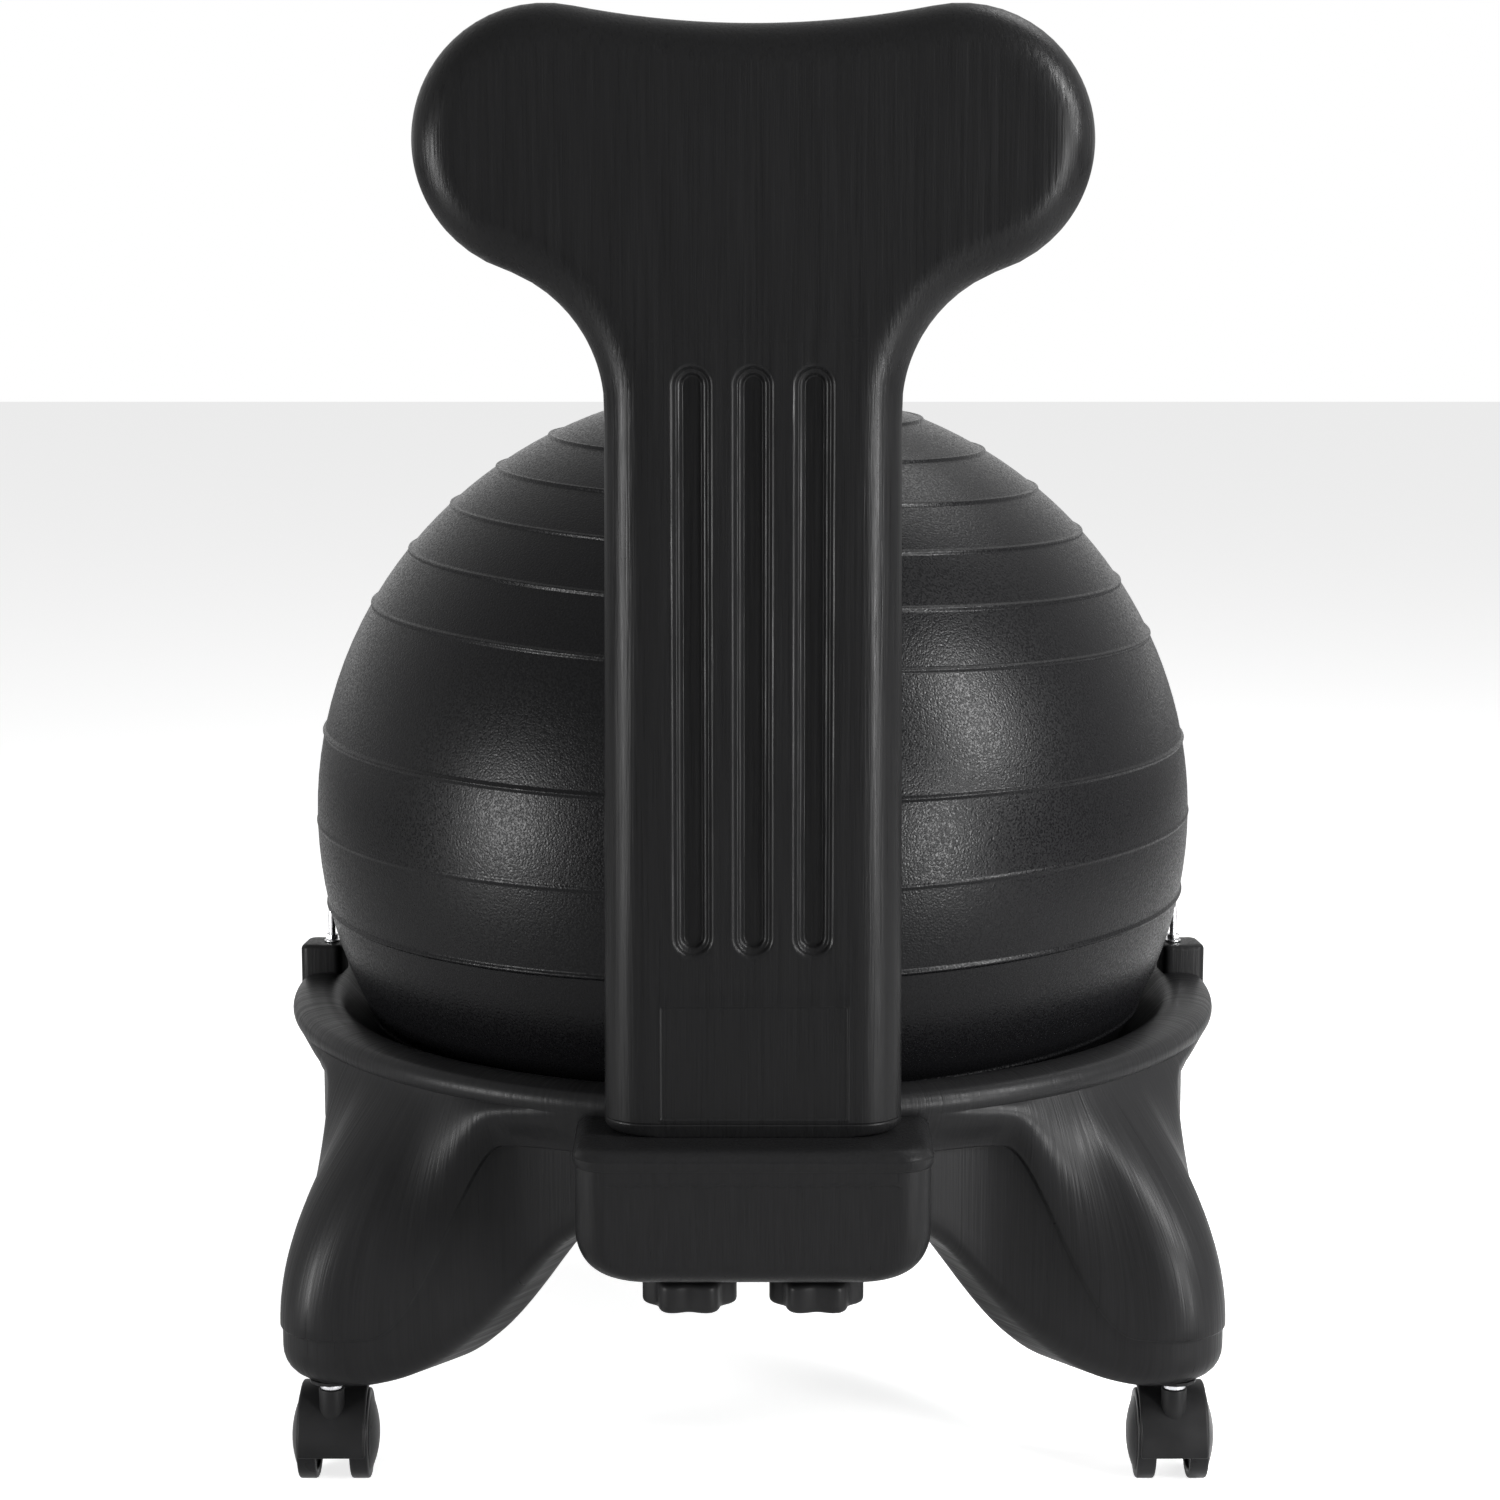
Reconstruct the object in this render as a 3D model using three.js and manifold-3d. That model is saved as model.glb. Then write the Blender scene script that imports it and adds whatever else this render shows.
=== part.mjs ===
// Balance ball chair: an inflatable ball held in a four-legged ring base on twin-wheel casters,
// with a flat T-shaped backrest that stands in a socket box behind the ball.
// Millimetres, +Z up. The sitter faces +Y, so the backrest stands on the -Y side.
// The origin is under the middle of the chair's outer box, on the floor.

import * as THREE from "three";
import { mergeVertices } from "three/addons/utils/BufferGeometryUtils.js";
import Module from "manifold-3d";

// Clearances shared by all pieces
const seatGap = 0.3;
const slidingGap = 0.6;
const cutOverrun = 3;
const weldDistance = 0.0001;
const roundSides = 12;

// Ball, flattened a little by its own weight in the ring
const ballDiameter = 520;
const ballHeight = 503;
const ballWall = 1.5;
const ballRibWidth = 4.4;
const ballRibHeight = 1.6;
const ballSeamWidth = 3;
const ballSeamHeight = 0.8;
const ballUpperRibShares = [0.193, 0.465, 0.589, 0.698, 0.79, 0.87, 0.935];
const ballLowerRibShares = [0.193, 0.465, 0.589, 0.73, 0.81, 0.88, 0.94];
const ballSides = 32;
const ballStepAngle = 8.4;
const ballLiningSteps = 12;

// Valve in the ball's lowest point
const valveBore = 9;
const valvePlugLength = 9;
const valveHeadDiameter = 15;
const valveHeadThickness = 1.6;
const valveSides = 12;

// Ring of the base
const seatRadius = 189.5;
const seatHeight = 172.2;
const seatNoseInset = 2.6;
const seatNoseDrop = 6;
const seatShares = [1, 0.6, 0.25, 0];
const seatFlare = 1.5;
const rimRadius = 275;
const rimHeight = 236;
const rimRollRadius = 8;
const rimRollDrop = 9.5;
const rimRollAngles = [-34, 20, 75];
const rimCrownRadius = 257.5;
const rimNeck = { pull: 5.6, push: 9, ringDrop: 8.3, legDrop: 21 };
const rimInnerRadius = 246;
const rimInnerDrop = 4;
const ringBottomHeight = 150;
const ringWallRadius = 257;
const partingStep = 4;
const partingHeight = 198;

// Legs of the base, one towards each corner
const legReach = 347.5;
const footRadius = 34;
const footHeight = 64;
const footPartingHeight = 94;
const footEdgeRound = { ring: 11, leg: 18 };
const legRootHeight = 101;
const legRiseAngles = [6, 15.5];
const legSoleAngles = [4.5, 26];
const legRootAngle = 23;
const legFlankTurn = 60;
const legFlankBlend = 6;
const shoulderInnerAngle = 13;
const shoulderOuterAngle = 31;
const undersideShares = [[0, 0], [0.2, 0.35], [0.4, 0.85], [1, 1]];
const footRoundShare = 0.3;
const skirtShares = [0, 0.13, 0.28, 0.46, 0.66, 0.84];
const skirtFullness = { ring: 0.3, leg: 0.52 };
const legStepShares = [0, 0.054, 0.1, 0.13, 0.17, 0.21, 0.245, 0.285, 0.33, 0.4, 0.54, 0.76];

// Socket box behind the ring
const boxWidth = 188;
const boxTopHeight = 222;
const boxBottomHeight = 148.5;
const boxRearMargin = 26;
const boxFrontReach = 22;
const boxLowerRound = 27;
const boxUpperRound = 9;
const boxEdgeRound = 7;

// Backrest
const backrestThickness = 38;
const backrestBallGap = 6;
const backrestHeight = 803;
const lobeRadius = 68;
const lobeSpread = 104;
const topDip = 10;
const shoulderRadius = 75;
const columnTopHalfWidth = 75.8;
const columnBottomHalfWidth = 78;
const columnCornerRadius = 16;
const backrestEdgeRound = 15;
const backrestEdgeSteps = 4;
const grooveLength = 306;
const grooveTopHeight = 624;
const groovePitch = 31;
const grooveWidth = 12.5;
const grooveLipWidth = 21.5;
const grooveDepth = 6;
const grooveLipHeight = 1;
const grooveCount = 3;

// Tenon under the backrest, and the two knobs that pull it down
const tenonWidth = 118;
const tenonThickness = 22;
const tenonLength = 48;
const knobSpread = 67.2;
const knobDiameter = 50;
const knobLobeDepth = 4.6;
const knobLobes = 6;
const knobLobeSteps = 4;
const knobHeight = 19;
const knobEdgeRound = 2.5;
const knobHubDiameter = 26;
const knobHubHeight = 3.5;
const studDiameter = 8;
const studEngagement = 14;
const studRootLength = 11;
const knobWasherDiameter = 22;
const knobWasherThickness = 1.5;
const insertDiameter = 12.4;
const insertLength = 17;

// Support bar, bent from steel rod, and the lugs that hold its ends
const rodDiameter = 4.2;
const rodBallGap = 4.9;
const rodRise = 48;
const rodBendRadius = 18;
const lugAngle = 6.6;
const lugRise = 16.4;
const lugRootDepth = 14;
const lugRadialWidth = 25;
const lugTangentWidth = 26;
const lugCornerRadius = 5;
const lugRodInset = 4.5;
const rodEngagement = 34;
const nutAcrossFlats = 7;
const nutHeight = 3.2;
const barWasherDiameter = 9.6;
const barWasherThickness = 0.9;
const rodBendSteps = 5;
const rodHoopSteps = 26;
const rodRouteSteps = 56;

// Casters
const stemHalfSpanX = 232;
const stemHalfSpanY = 223;
const casterTrail = 18;
const wheelDiameter = 50;
const wheelInnerOffset = 9.3;
const wheelTreadWidth = 11;
const wheelEdgeRound = 1;
const wheelDome = 4.4;
const wheelDomeShares = [0.55, 0.8];
const wheelSides = 16;
const axleDiameter = 5;
const axleCover = 4.5;
const webHalfThickness = 8.6;
const webRadius = 14;
const hoodHalfWidth = 18.6;
const hoodWheelGap = 1.5;
const hoodWall = 3;
const hoodLowAngle = -10;
const hoodHighAngle = 118;
const hoodSteps = 7;
const casterBossDiameter = 14;
const casterBossLength = 26;
const casterTopHeight = 57.6;
const stemDiameter = 8;
const stemHoldLength = 18;
const stemCollarDiameter = 12.5;
const stemCollarThickness = 2.6;
const stemTopLength = 30;
const stemGripDepth = 0.7;
const stemGripLength = 4;
const sleeveDiameter = 15;
const sleeveFlangeDiameter = 24;
const sleeveFlangeThickness = 1.8;
const sleeveRoof = 3;

// Brake levers on the front casters
const leverHubRadius = 3.6;
const leverHubAngle = 137;
const leverHalfWidth = 8;
const leverArm = 21;
const leverThickness = 3.4;
const leverArmAngle = 14;
const earHalfThickness = 3;
const leverPinDiameter = 2.4;

// Materials
const makeFinish = (color, roughness, metalness) => () =>
  new THREE.MeshStandardMaterial({ color, roughness, metalness });
const blownPlastic = makeFinish(0x17171a, 0.42, 0);
const ballVinyl = makeFinish(0x2b2b2e, 0.62, 0);
const mouldedPlastic = makeFinish(0x131315, 0.5, 0);
const wheelNylon = makeFinish(0x1b1b1d, 0.38, 0);
const brightSteel = makeFinish(0xb9bcc0, 0.28, 0.9);
const turnedBrass = makeFinish(0xb08d4a, 0.35, 0.9);

const wasm = await Module();
wasm.setup();

const mix = (from, to, share) => from + (to - from) * share;
const half = (size) => size / 2;
const polar = (radius, angle, height = 0) =>
  new THREE.Vector3(radius * Math.cos(angle), radius * Math.sin(angle), height);

// 1 within the inner angle, 0 beyond the outer one, and smooth between.
const fade = (angle, inner, outer) =>
  1 - THREE.MathUtils.smoothstep(Math.abs(angle), inner, outer);

function merged(geometry) {
  const bare = geometry.index ? geometry.toNonIndexed() : geometry.clone();
  bare.deleteAttribute("normal");
  bare.deleteAttribute("uv");
  const closed = mergeVertices(bare, weldDistance);
  return signedVolume(closed) < 0 ? turnedInsideOut(closed) : closed;
}

function signedVolume(geometry) {
  const place = geometry.getAttribute("position");
  const corners = geometry.index.array;
  const [a, b, c] = [new THREE.Vector3(), new THREE.Vector3(), new THREE.Vector3()];
  let volume = 0;
  for (let i = 0; i < corners.length; i += 3) {
    a.fromBufferAttribute(place, corners[i]);
    b.fromBufferAttribute(place, corners[i + 1]);
    c.fromBufferAttribute(place, corners[i + 2]);
    volume += a.dot(b.cross(c));
  }
  return volume;
}

function turnedInsideOut(geometry) {
  const corners = geometry.index.array;
  for (let i = 0; i < corners.length; i += 3) {
    [corners[i + 1], corners[i + 2]] = [corners[i + 2], corners[i + 1]];
  }
  return geometry;
}

// Faces whose corners fell together are left out, so that the surface stays closed.
function solid(geometry) {
  const closed = merged(geometry);
  const corners = closed.index.array;
  const kept = [];
  for (let i = 0; i < corners.length; i += 3) {
    const [a, b, c] = corners.slice(i, i + 3);
    if (a !== b && b !== c && c !== a) kept.push(a, b, c);
  }
  return new wasm.Manifold(
    new wasm.Mesh({
      numProp: 3,
      vertProperties: closed.getAttribute("position").array,
      triVerts: new Uint32Array(kept),
    }),
  );
}

function geometryOf(manifold) {
  const mesh = manifold.getMesh();
  const geometry = new THREE.BufferGeometry();
  geometry.setAttribute("position", new THREE.BufferAttribute(mesh.vertProperties, 3));
  geometry.setIndex(new THREE.BufferAttribute(mesh.triVerts, 1));
  return geometry;
}

const joined = (...geometries) => geometries.map(solid).reduce((all, next) => all.add(next));
const cut = (body, ...geometries) =>
  geometries.map(solid).reduce((left, next) => left.subtract(next), body);

// A turned solid about Z, from [radius, height] points.
function turned(points, sides) {
  const profile = points.map(([radius, height]) => new THREE.Vector2(radius, height));
  return new THREE.LatheGeometry(profile, sides).rotateX(Math.PI / 2);
}

function pin(diameter, bottom, top, sides = roundSides) {
  const radius = half(diameter);
  return turned([[0, bottom], [radius, bottom], [radius, top], [0, top]], sides);
}

function ring(innerDiameter, outerDiameter, bottom, top, sides = roundSides) {
  const [inner, outer] = [half(innerDiameter), half(outerDiameter)];
  return turned(
    [[inner, bottom], [outer, bottom], [outer, top], [inner, top], [inner, bottom]],
    sides,
  );
}

// An outline drawn in X and Z, as seen from behind the chair, and its depth along Y.
function slab(shape, nearY, farY, options = {}) {
  return new THREE.ExtrudeGeometry(shape, {
    depth: farY - nearY,
    bevelEnabled: false,
    curveSegments: 6,
    ...options,
  })
    .rotateX(Math.PI / 2)
    .translate(0, farY, 0);
}

function roundedRectangle(left, right, bottom, top, lowerRound, upperRound) {
  const shape = new THREE.Shape();
  const [quarter, whole] = [Math.PI / 2, Math.PI * 2];
  shape.absarc(right - lowerRound, bottom + lowerRound, lowerRound, -quarter, 0, false);
  shape.absarc(right - upperRound, top - upperRound, upperRound, 0, quarter, false);
  shape.absarc(left + upperRound, top - upperRound, upperRound, quarter, 2 * quarter, false);
  shape.absarc(left + lowerRound, bottom + lowerRound, lowerRound, 2 * quarter, whole - quarter, false);
  return shape;
}

// A shape whose outline is closed by joining rings of points, skinned in both directions.
function skinOfLoops(loops) {
  const rows = loops.length;
  const columns = loops[0].length;
  const positions = loops.flat().flatMap((point) => point.toArray());
  const corners = [];
  for (let i = 0; i < rows; i += 1) {
    for (let j = 0; j < columns; j += 1) {
      const here = i * columns + j;
      const beside = i * columns + ((j + 1) % columns);
      const next = ((i + 1) % rows) * columns + j;
      const across = ((i + 1) % rows) * columns + ((j + 1) % columns);
      corners.push(here, beside, next, beside, across, next);
    }
  }
  const geometry = new THREE.BufferGeometry();
  geometry.setAttribute("position", new THREE.Float32BufferAttribute(positions, 3));
  geometry.setIndex(corners);
  return geometry;
}

// Ball places worked out from the seat it rests on
const ballRadius = half(ballDiameter);
const ballHalfHeight = half(ballHeight);
const ballSkinRadius = ballRadius - ballRibHeight;
const ballSkinHalfHeight = ballHalfHeight - ballRibHeight;
const ballSeatDrop =
  ballSkinHalfHeight * Math.sqrt(1 - ((seatRadius - seatGap) / ballSkinRadius) ** 2);
const ballCentreHeight = seatHeight + ballSeatDrop;
const ballBottomHeight = ballCentreHeight - ballSkinHalfHeight;
const ballSkinRadiusAt = (height) =>
  ballSkinRadius *
  Math.sqrt(Math.max(0, 1 - ((height - ballCentreHeight) / ballSkinHalfHeight) ** 2));

// Backrest and socket places worked out from the ball
const backrestFrontY = -(ballRadius + backrestBallGap);
const backrestRearY = backrestFrontY - backrestThickness;
const backrestMiddleY = backrestFrontY - half(backrestThickness);
const boxRearY = backrestRearY - boxRearMargin;
const boxFrontY = -(ringWallRadius - boxFrontReach);
const backrestBottomHeight = boxTopHeight + seatGap;
const tenonBottomHeight = backrestBottomHeight - tenonLength;
const slotBottomHeight = tenonBottomHeight - slidingGap;

// Bar places worked out from the rim, the ball and its lugs
const rodHoopHeight = rimHeight + rodRise;
const lugTopHeight = rimHeight + lugRise;
const lugRootHeight = rimHeight - lugRootDepth;
const rodRadius = ballSkinRadiusAt(rodHoopHeight) + rodBallGap + half(rodDiameter);
const lugAzimuth = THREE.MathUtils.degToRad(lugAngle);
const lugMiddleRadius = rodRadius + lugRodInset;
const rodEndHeight = lugTopHeight - rodEngagement;

const wheelRadius = half(wheelDiameter);

// The ball's profile from its lowest to its highest point. Each rib is a small ridge, given by
// the share of the ball's radius at which it stands above the middle, its width and its height.
function ballProfile(radius, halfHeight, ribs) {
  const pole = Math.PI / 2;
  const stepAngle = THREE.MathUtils.degToRad(ballStepAngle);
  const points = [[-pole, 0]];
  const coverTo = (angle) => {
    const [from] = points.at(-1);
    const steps = Math.ceil((angle - from) / stepAngle);
    for (let step = 1; step <= steps; step += 1) points.push([mix(from, angle, step / steps), 0]);
  };
  for (const { share, width, height } of ribs) {
    const angle = Math.asin(share);
    const reach = half(width) / radius;
    coverTo(angle - reach);
    points.push([angle, height], [angle + reach, 0]);
  }
  coverTo(pole);
  return points.map(([angle, height]) => [
    Math.max(0, (radius + height) * Math.cos(angle)),
    ballCentreHeight + (halfHeight + height) * Math.sin(angle),
  ]);
}

// The ball: an outer surface with its ribs and mould seam, cut by its lining and the valve's bore.
function ballShell() {
  const ribAt = (share) => ({ share, width: ballRibWidth, height: ballRibHeight });
  const upper = ballUpperRibShares.map(ribAt);
  const lower = ballLowerRibShares.map((share) => ribAt(-share)).reverse();
  const seam = { share: 0, width: ballSeamWidth, height: ballSeamHeight };
  const outside = ballProfile(ballSkinRadius, ballSkinHalfHeight, [...lower, seam, ...upper]);
  const inside = Array.from({ length: ballLiningSteps + 1 }, (_, i) => {
    const angle = mix(-Math.PI / 2, Math.PI / 2, i / ballLiningSteps);
    return [
      Math.max(0, (ballSkinRadius - ballWall) * Math.cos(angle)),
      ballCentreHeight + (ballSkinHalfHeight - ballWall) * Math.sin(angle),
    ];
  });
  const bore = pin(
    valveBore,
    ballBottomHeight - cutOverrun,
    ballBottomHeight + ballWall + cutOverrun,
    valveSides,
  );
  return cut(solid(turned(outside, ballSides)), turned(inside, ballSides), bore);
}

function valvePlug() {
  const headTop = ballBottomHeight - seatGap;
  const shaft = half(valveBore) - seatGap;
  const tip = ballBottomHeight + valvePlugLength;
  return turned(
    [
      [0, headTop - valveHeadThickness],
      [half(valveHeadDiameter), headTop - valveHeadThickness],
      [half(valveHeadDiameter), headTop],
      [shaft, headTop],
      [shaft, tip - half(shaft)],
      [half(shaft), tip],
      [0, tip],
    ],
    valveSides,
  );
}

// Places on the base are worked out for an angular offset from the nearest leg's axis.
const footCentreRadius = legReach - footRadius;
const inRadians = (angles) => angles.map(THREE.MathUtils.degToRad);
const legRise = inRadians(legRiseAngles);
const legSole = inRadians(legSoleAngles);
const legRoot = inRadians([legSoleAngles[0], legRootAngle]);
const flankTurn = THREE.MathUtils.degToRad(legFlankTurn);
const shoulderSpan = inRadians([shoulderInnerAngle, shoulderOuterAngle]);
const shoulderWeight = (offset) => fade(offset, ...shoulderSpan);

// The parting line's radius follows the round foot, then the straight flank that leaves it at the
// flank's turn, and a smooth maximum rounds the flank into the ring.
function partingRadius(offset) {
  const ringEdge = ringWallRadius + partingStep;
  const away = Math.abs(offset);
  const across = footCentreRadius * Math.sin(away);
  const flankStart = Math.atan2(
    footRadius * Math.sin(flankTurn),
    footCentreRadius + footRadius * Math.cos(flankTurn),
  );
  const leg =
    away < flankStart
      ? footCentreRadius * Math.cos(away) + Math.sqrt(footRadius ** 2 - across ** 2)
      : (footCentreRadius * Math.cos(flankTurn) + footRadius) / Math.cos(flankTurn - away);
  return ringEdge + legFlankBlend * Math.log1p(Math.exp((leg - ringEdge) / legFlankBlend));
}

// Cubic curve between two points of a section, bent by two control points.
const bent = (a, b, c, d) => (share) => {
  const rest = 1 - share;
  const weights = [rest ** 3, 3 * rest ** 2 * share, 3 * rest * share ** 2, share ** 3];
  return [0, 1].map((i) => [a, b, c, d].reduce((sum, point, k) => sum + weights[k] * point[i], 0));
};

// One section of the base as [radius, height] points: from the inner wall's foot outwards along
// the underside, up the lower shell, over the parting step, up the skirt and round the rim's
// roll, then down the seat that the ball rests on.
function baseSection(offset) {
  const weight = fade(offset, ...legRise);
  const rootWeight = fade(offset, ...legRoot);
  const innerRadius = seatRadius - seatNoseInset;
  const edge = [partingRadius(offset), mix(partingHeight, footPartingHeight, weight)];
  const wallRadius = edge[0] - partingStep;
  const underside = mix(ringBottomHeight, footHeight, fade(offset, ...legSole));
  const rootHeight = mix(ringBottomHeight, legRootHeight, rootWeight);
  const edgeRound = mix(footEdgeRound.ring, footEdgeRound.leg, weight);
  const roundInset = edgeRound * footRoundShare;
  const sole = undersideShares.map(([radiusShare, heightShare]) => [
    mix(innerRadius, wallRadius - edgeRound, radiusShare),
    mix(rootHeight, underside, heightShare),
  ]);
  const rollCentre = [rimRadius - rimRollRadius, rimHeight - rimRollDrop];
  const onRoll = (degrees) => {
    const angle = THREE.MathUtils.degToRad(degrees);
    return [
      rollCentre[0] + rimRollRadius * Math.cos(angle),
      rollCentre[1] + rimRollRadius * Math.sin(angle),
    ];
  };
  const rollStart = onRoll(rimRollAngles[0]);
  const neckPull = mix(rimNeck.pull, -rimNeck.push, shoulderWeight(offset));
  const neckDrop = mix(rimNeck.ringDrop, rimNeck.legDrop, weight);
  const fullness = mix(skirtFullness.ring, skirtFullness.leg, weight);
  const skirt = bent(
    edge,
    [edge[0], mix(edge[1], rollStart[1], fullness)],
    [rollStart[0] - neckPull, rollStart[1] - neckDrop],
    rollStart,
  );
  const rimInnerHeight = rimHeight - rimInnerDrop;
  const rimGap = rimInnerRadius - ballSkinRadiusAt(rimInnerHeight) - seatGap;
  const seat = (share) => {
    const height = mix(seatHeight, rimInnerHeight, share);
    return [ballSkinRadiusAt(height) + seatGap + rimGap * share ** seatFlare, height];
  };
  return [
    ...sole,
    [wallRadius - roundInset, underside + roundInset],
    [wallRadius, underside + edgeRound],
    [wallRadius, edge[1] - half(partingStep)],
    ...skirtShares.map(skirt),
    ...rimRollAngles.map(onRoll),
    [rimCrownRadius, rimHeight],
    ...seatShares.map(seat),
    [innerRadius, seatHeight - seatNoseDrop],
  ];
}

function baseBody() {
  const legAngle = Math.atan2(stemHalfSpanY, stemHalfSpanX);
  const quarter = Math.PI / 2;
  const loops = [];
  for (let quadrant = 0; quadrant < 4; quadrant += 1) {
    const mirrored = quadrant % 2 === 1;
    const leg = quadrant * quarter + (mirrored ? quarter - legAngle : legAngle);
    const [before, after] = mirrored ? [quarter - legAngle, legAngle] : [legAngle, quarter - legAngle];
    const offsets = [
      -before,
      ...legStepShares.slice(1).reverse().map((share) => -share * before),
      ...legStepShares.map((share) => share * after),
    ];
    for (const offset of offsets) {
      loops.push(baseSection(offset).map(([radius, height]) => polar(radius, leg + offset, height)));
    }
  }
  return skinOfLoops(loops);
}

function socketBox() {
  const outline = roundedRectangle(
    -half(boxWidth) + boxEdgeRound,
    half(boxWidth) - boxEdgeRound,
    boxBottomHeight + boxEdgeRound,
    boxTopHeight - boxEdgeRound,
    boxLowerRound - boxEdgeRound,
    boxUpperRound - boxEdgeRound,
  );
  return slab(outline, boxRearY + boxEdgeRound, boxFrontY - boxEdgeRound, {
    bevelEnabled: true,
    bevelSize: boxEdgeRound,
    bevelThickness: boxEdgeRound,
    bevelSegments: 2,
    curveSegments: 4,
  });
}

const sides = [
  { name: "left", sign: -1 },
  { name: "right", sign: 1 },
];
const lugDirection = (sign) => (sign > 0 ? lugAzimuth : Math.PI - lugAzimuth);

function lugBlock(sign) {
  const [across, along] = [half(lugRadialWidth), half(lugTangentWidth)];
  const outline = roundedRectangle(-across, across, -along, along, lugCornerRadius, lugCornerRadius);
  const middle = polar(lugMiddleRadius, lugDirection(sign));
  return new THREE.ExtrudeGeometry(outline, {
    depth: lugTopHeight - lugRootHeight,
    bevelEnabled: false,
    curveSegments: 2,
  })
    .rotateZ(lugDirection(sign))
    .translate(middle.x, middle.y, lugRootHeight);
}

function atRod(sign, geometry) {
  const place = polar(rodRadius, lugDirection(sign));
  return geometry.translate(place.x, place.y, 0);
}

function tenonSlot() {
  const reach = half(tenonWidth) + slidingGap;
  return new THREE.BoxGeometry(
    2 * reach,
    tenonThickness + 2 * slidingGap,
    boxTopHeight - slotBottomHeight + cutOverrun,
  ).translate(0, backrestMiddleY, half(boxTopHeight + slotBottomHeight + cutOverrun));
}

// The rim is cut away above the socket box, where the backrest stands.
function backrestNotch() {
  const depth = backrestThickness + grooveLipHeight + 2 * slidingGap;
  return new THREE.BoxGeometry(
    2 * (columnBottomHalfWidth + slidingGap),
    depth,
    2 * (rimHeight - boxTopHeight),
  ).translate(0, backrestFrontY + slidingGap - half(depth), rimHeight);
}

const stemTopHeight = footHeight + stemTopLength;
const sleeveTopHeight = stemTopHeight + seatGap + sleeveRoof;

function baseShell() {
  const lugs = sides.map(({ sign }) => lugBlock(sign));
  const body = joined(baseBody(), socketBox(), ...lugs);
  const rodHoles = sides.map(({ sign }) =>
    atRod(
      sign,
      pin(rodDiameter + 2 * seatGap, rodEndHeight - seatGap, lugTopHeight + cutOverrun),
    ),
  );
  const studHoles = sides.map(({ sign }) =>
    pin(studDiameter + 2 * slidingGap, boxBottomHeight - cutOverrun, slotBottomHeight + cutOverrun)
      .translate(sign * half(knobSpread), backrestMiddleY, 0),
  );
  const sleeveHoles = casterPlaces.map(({ x, y }) =>
    pin(sleeveDiameter + 2 * seatGap, footHeight - cutOverrun, sleeveTopHeight + seatGap)
      .translate(x, y, 0),
  );
  return cut(body, backrestNotch(), tenonSlot(), ...rodHoles, ...studHoles, ...sleeveHoles);
}

// Backrest outline, clockwise from the middle of the top dip: dip, right lobe, right shoulder,
// column and rounded corner, then the same mirrored. Each arc is tangent to the next.
function backrestOutline() {
  const lobeHeight = backrestHeight - lobeRadius;
  const dipBottom = backrestHeight - topDip;
  const lobeToDip = dipBottom - lobeHeight;
  const dipRadius =
    (lobeSpread ** 2 + lobeToDip ** 2 - lobeRadius ** 2) / (2 * (lobeRadius - lobeToDip));
  const dipAngle = Math.asin(lobeSpread / (lobeRadius + dipRadius));
  const shoulderX = columnTopHalfWidth + shoulderRadius;
  const shoulderRun = shoulderX - lobeSpread;
  const shoulderHeight =
    lobeHeight - Math.sqrt((lobeRadius + shoulderRadius) ** 2 - shoulderRun ** 2);
  const lobeEnd = Math.atan2(shoulderHeight - lobeHeight, shoulderRun);
  const arc = (x, y, radius, from, to, steps) =>
    Array.from({ length: steps + 1 }, (_, i) => {
      const angle = mix(from, to, i / steps);
      return [x + radius * Math.cos(angle), y + radius * Math.sin(angle)];
    });
  const [quarter, straight] = [Math.PI / 2, Math.PI];
  const right = [
    ...arc(0, dipBottom + dipRadius, dipRadius, -quarter, -quarter + dipAngle, 3).slice(0, -1),
    ...arc(lobeSpread, lobeHeight, lobeRadius, quarter + dipAngle, lobeEnd, 12),
    ...arc(shoulderX, shoulderHeight, shoulderRadius, lobeEnd + straight, straight, 6).slice(1),
    ...arc(
      columnBottomHalfWidth - columnCornerRadius,
      backrestBottomHeight + columnCornerRadius,
      columnCornerRadius,
      0,
      -quarter,
      4,
    ),
  ];
  const left = right.slice(1).reverse().map(([x, y]) => [-x, y]);
  return new THREE.Shape([...right, ...left].map(([x, y]) => new THREE.Vector2(x, y)));
}

function grooveOutline(x, width) {
  const reach = half(width);
  const round = half(grooveLipWidth);
  const top = grooveTopHeight - round;
  const bottom = grooveTopHeight - grooveLength + round;
  const shape = new THREE.Shape();
  shape.absarc(x, top, reach, 0, Math.PI, false);
  shape.absarc(x, bottom, reach, Math.PI, 2 * Math.PI, false);
  return shape;
}

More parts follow.
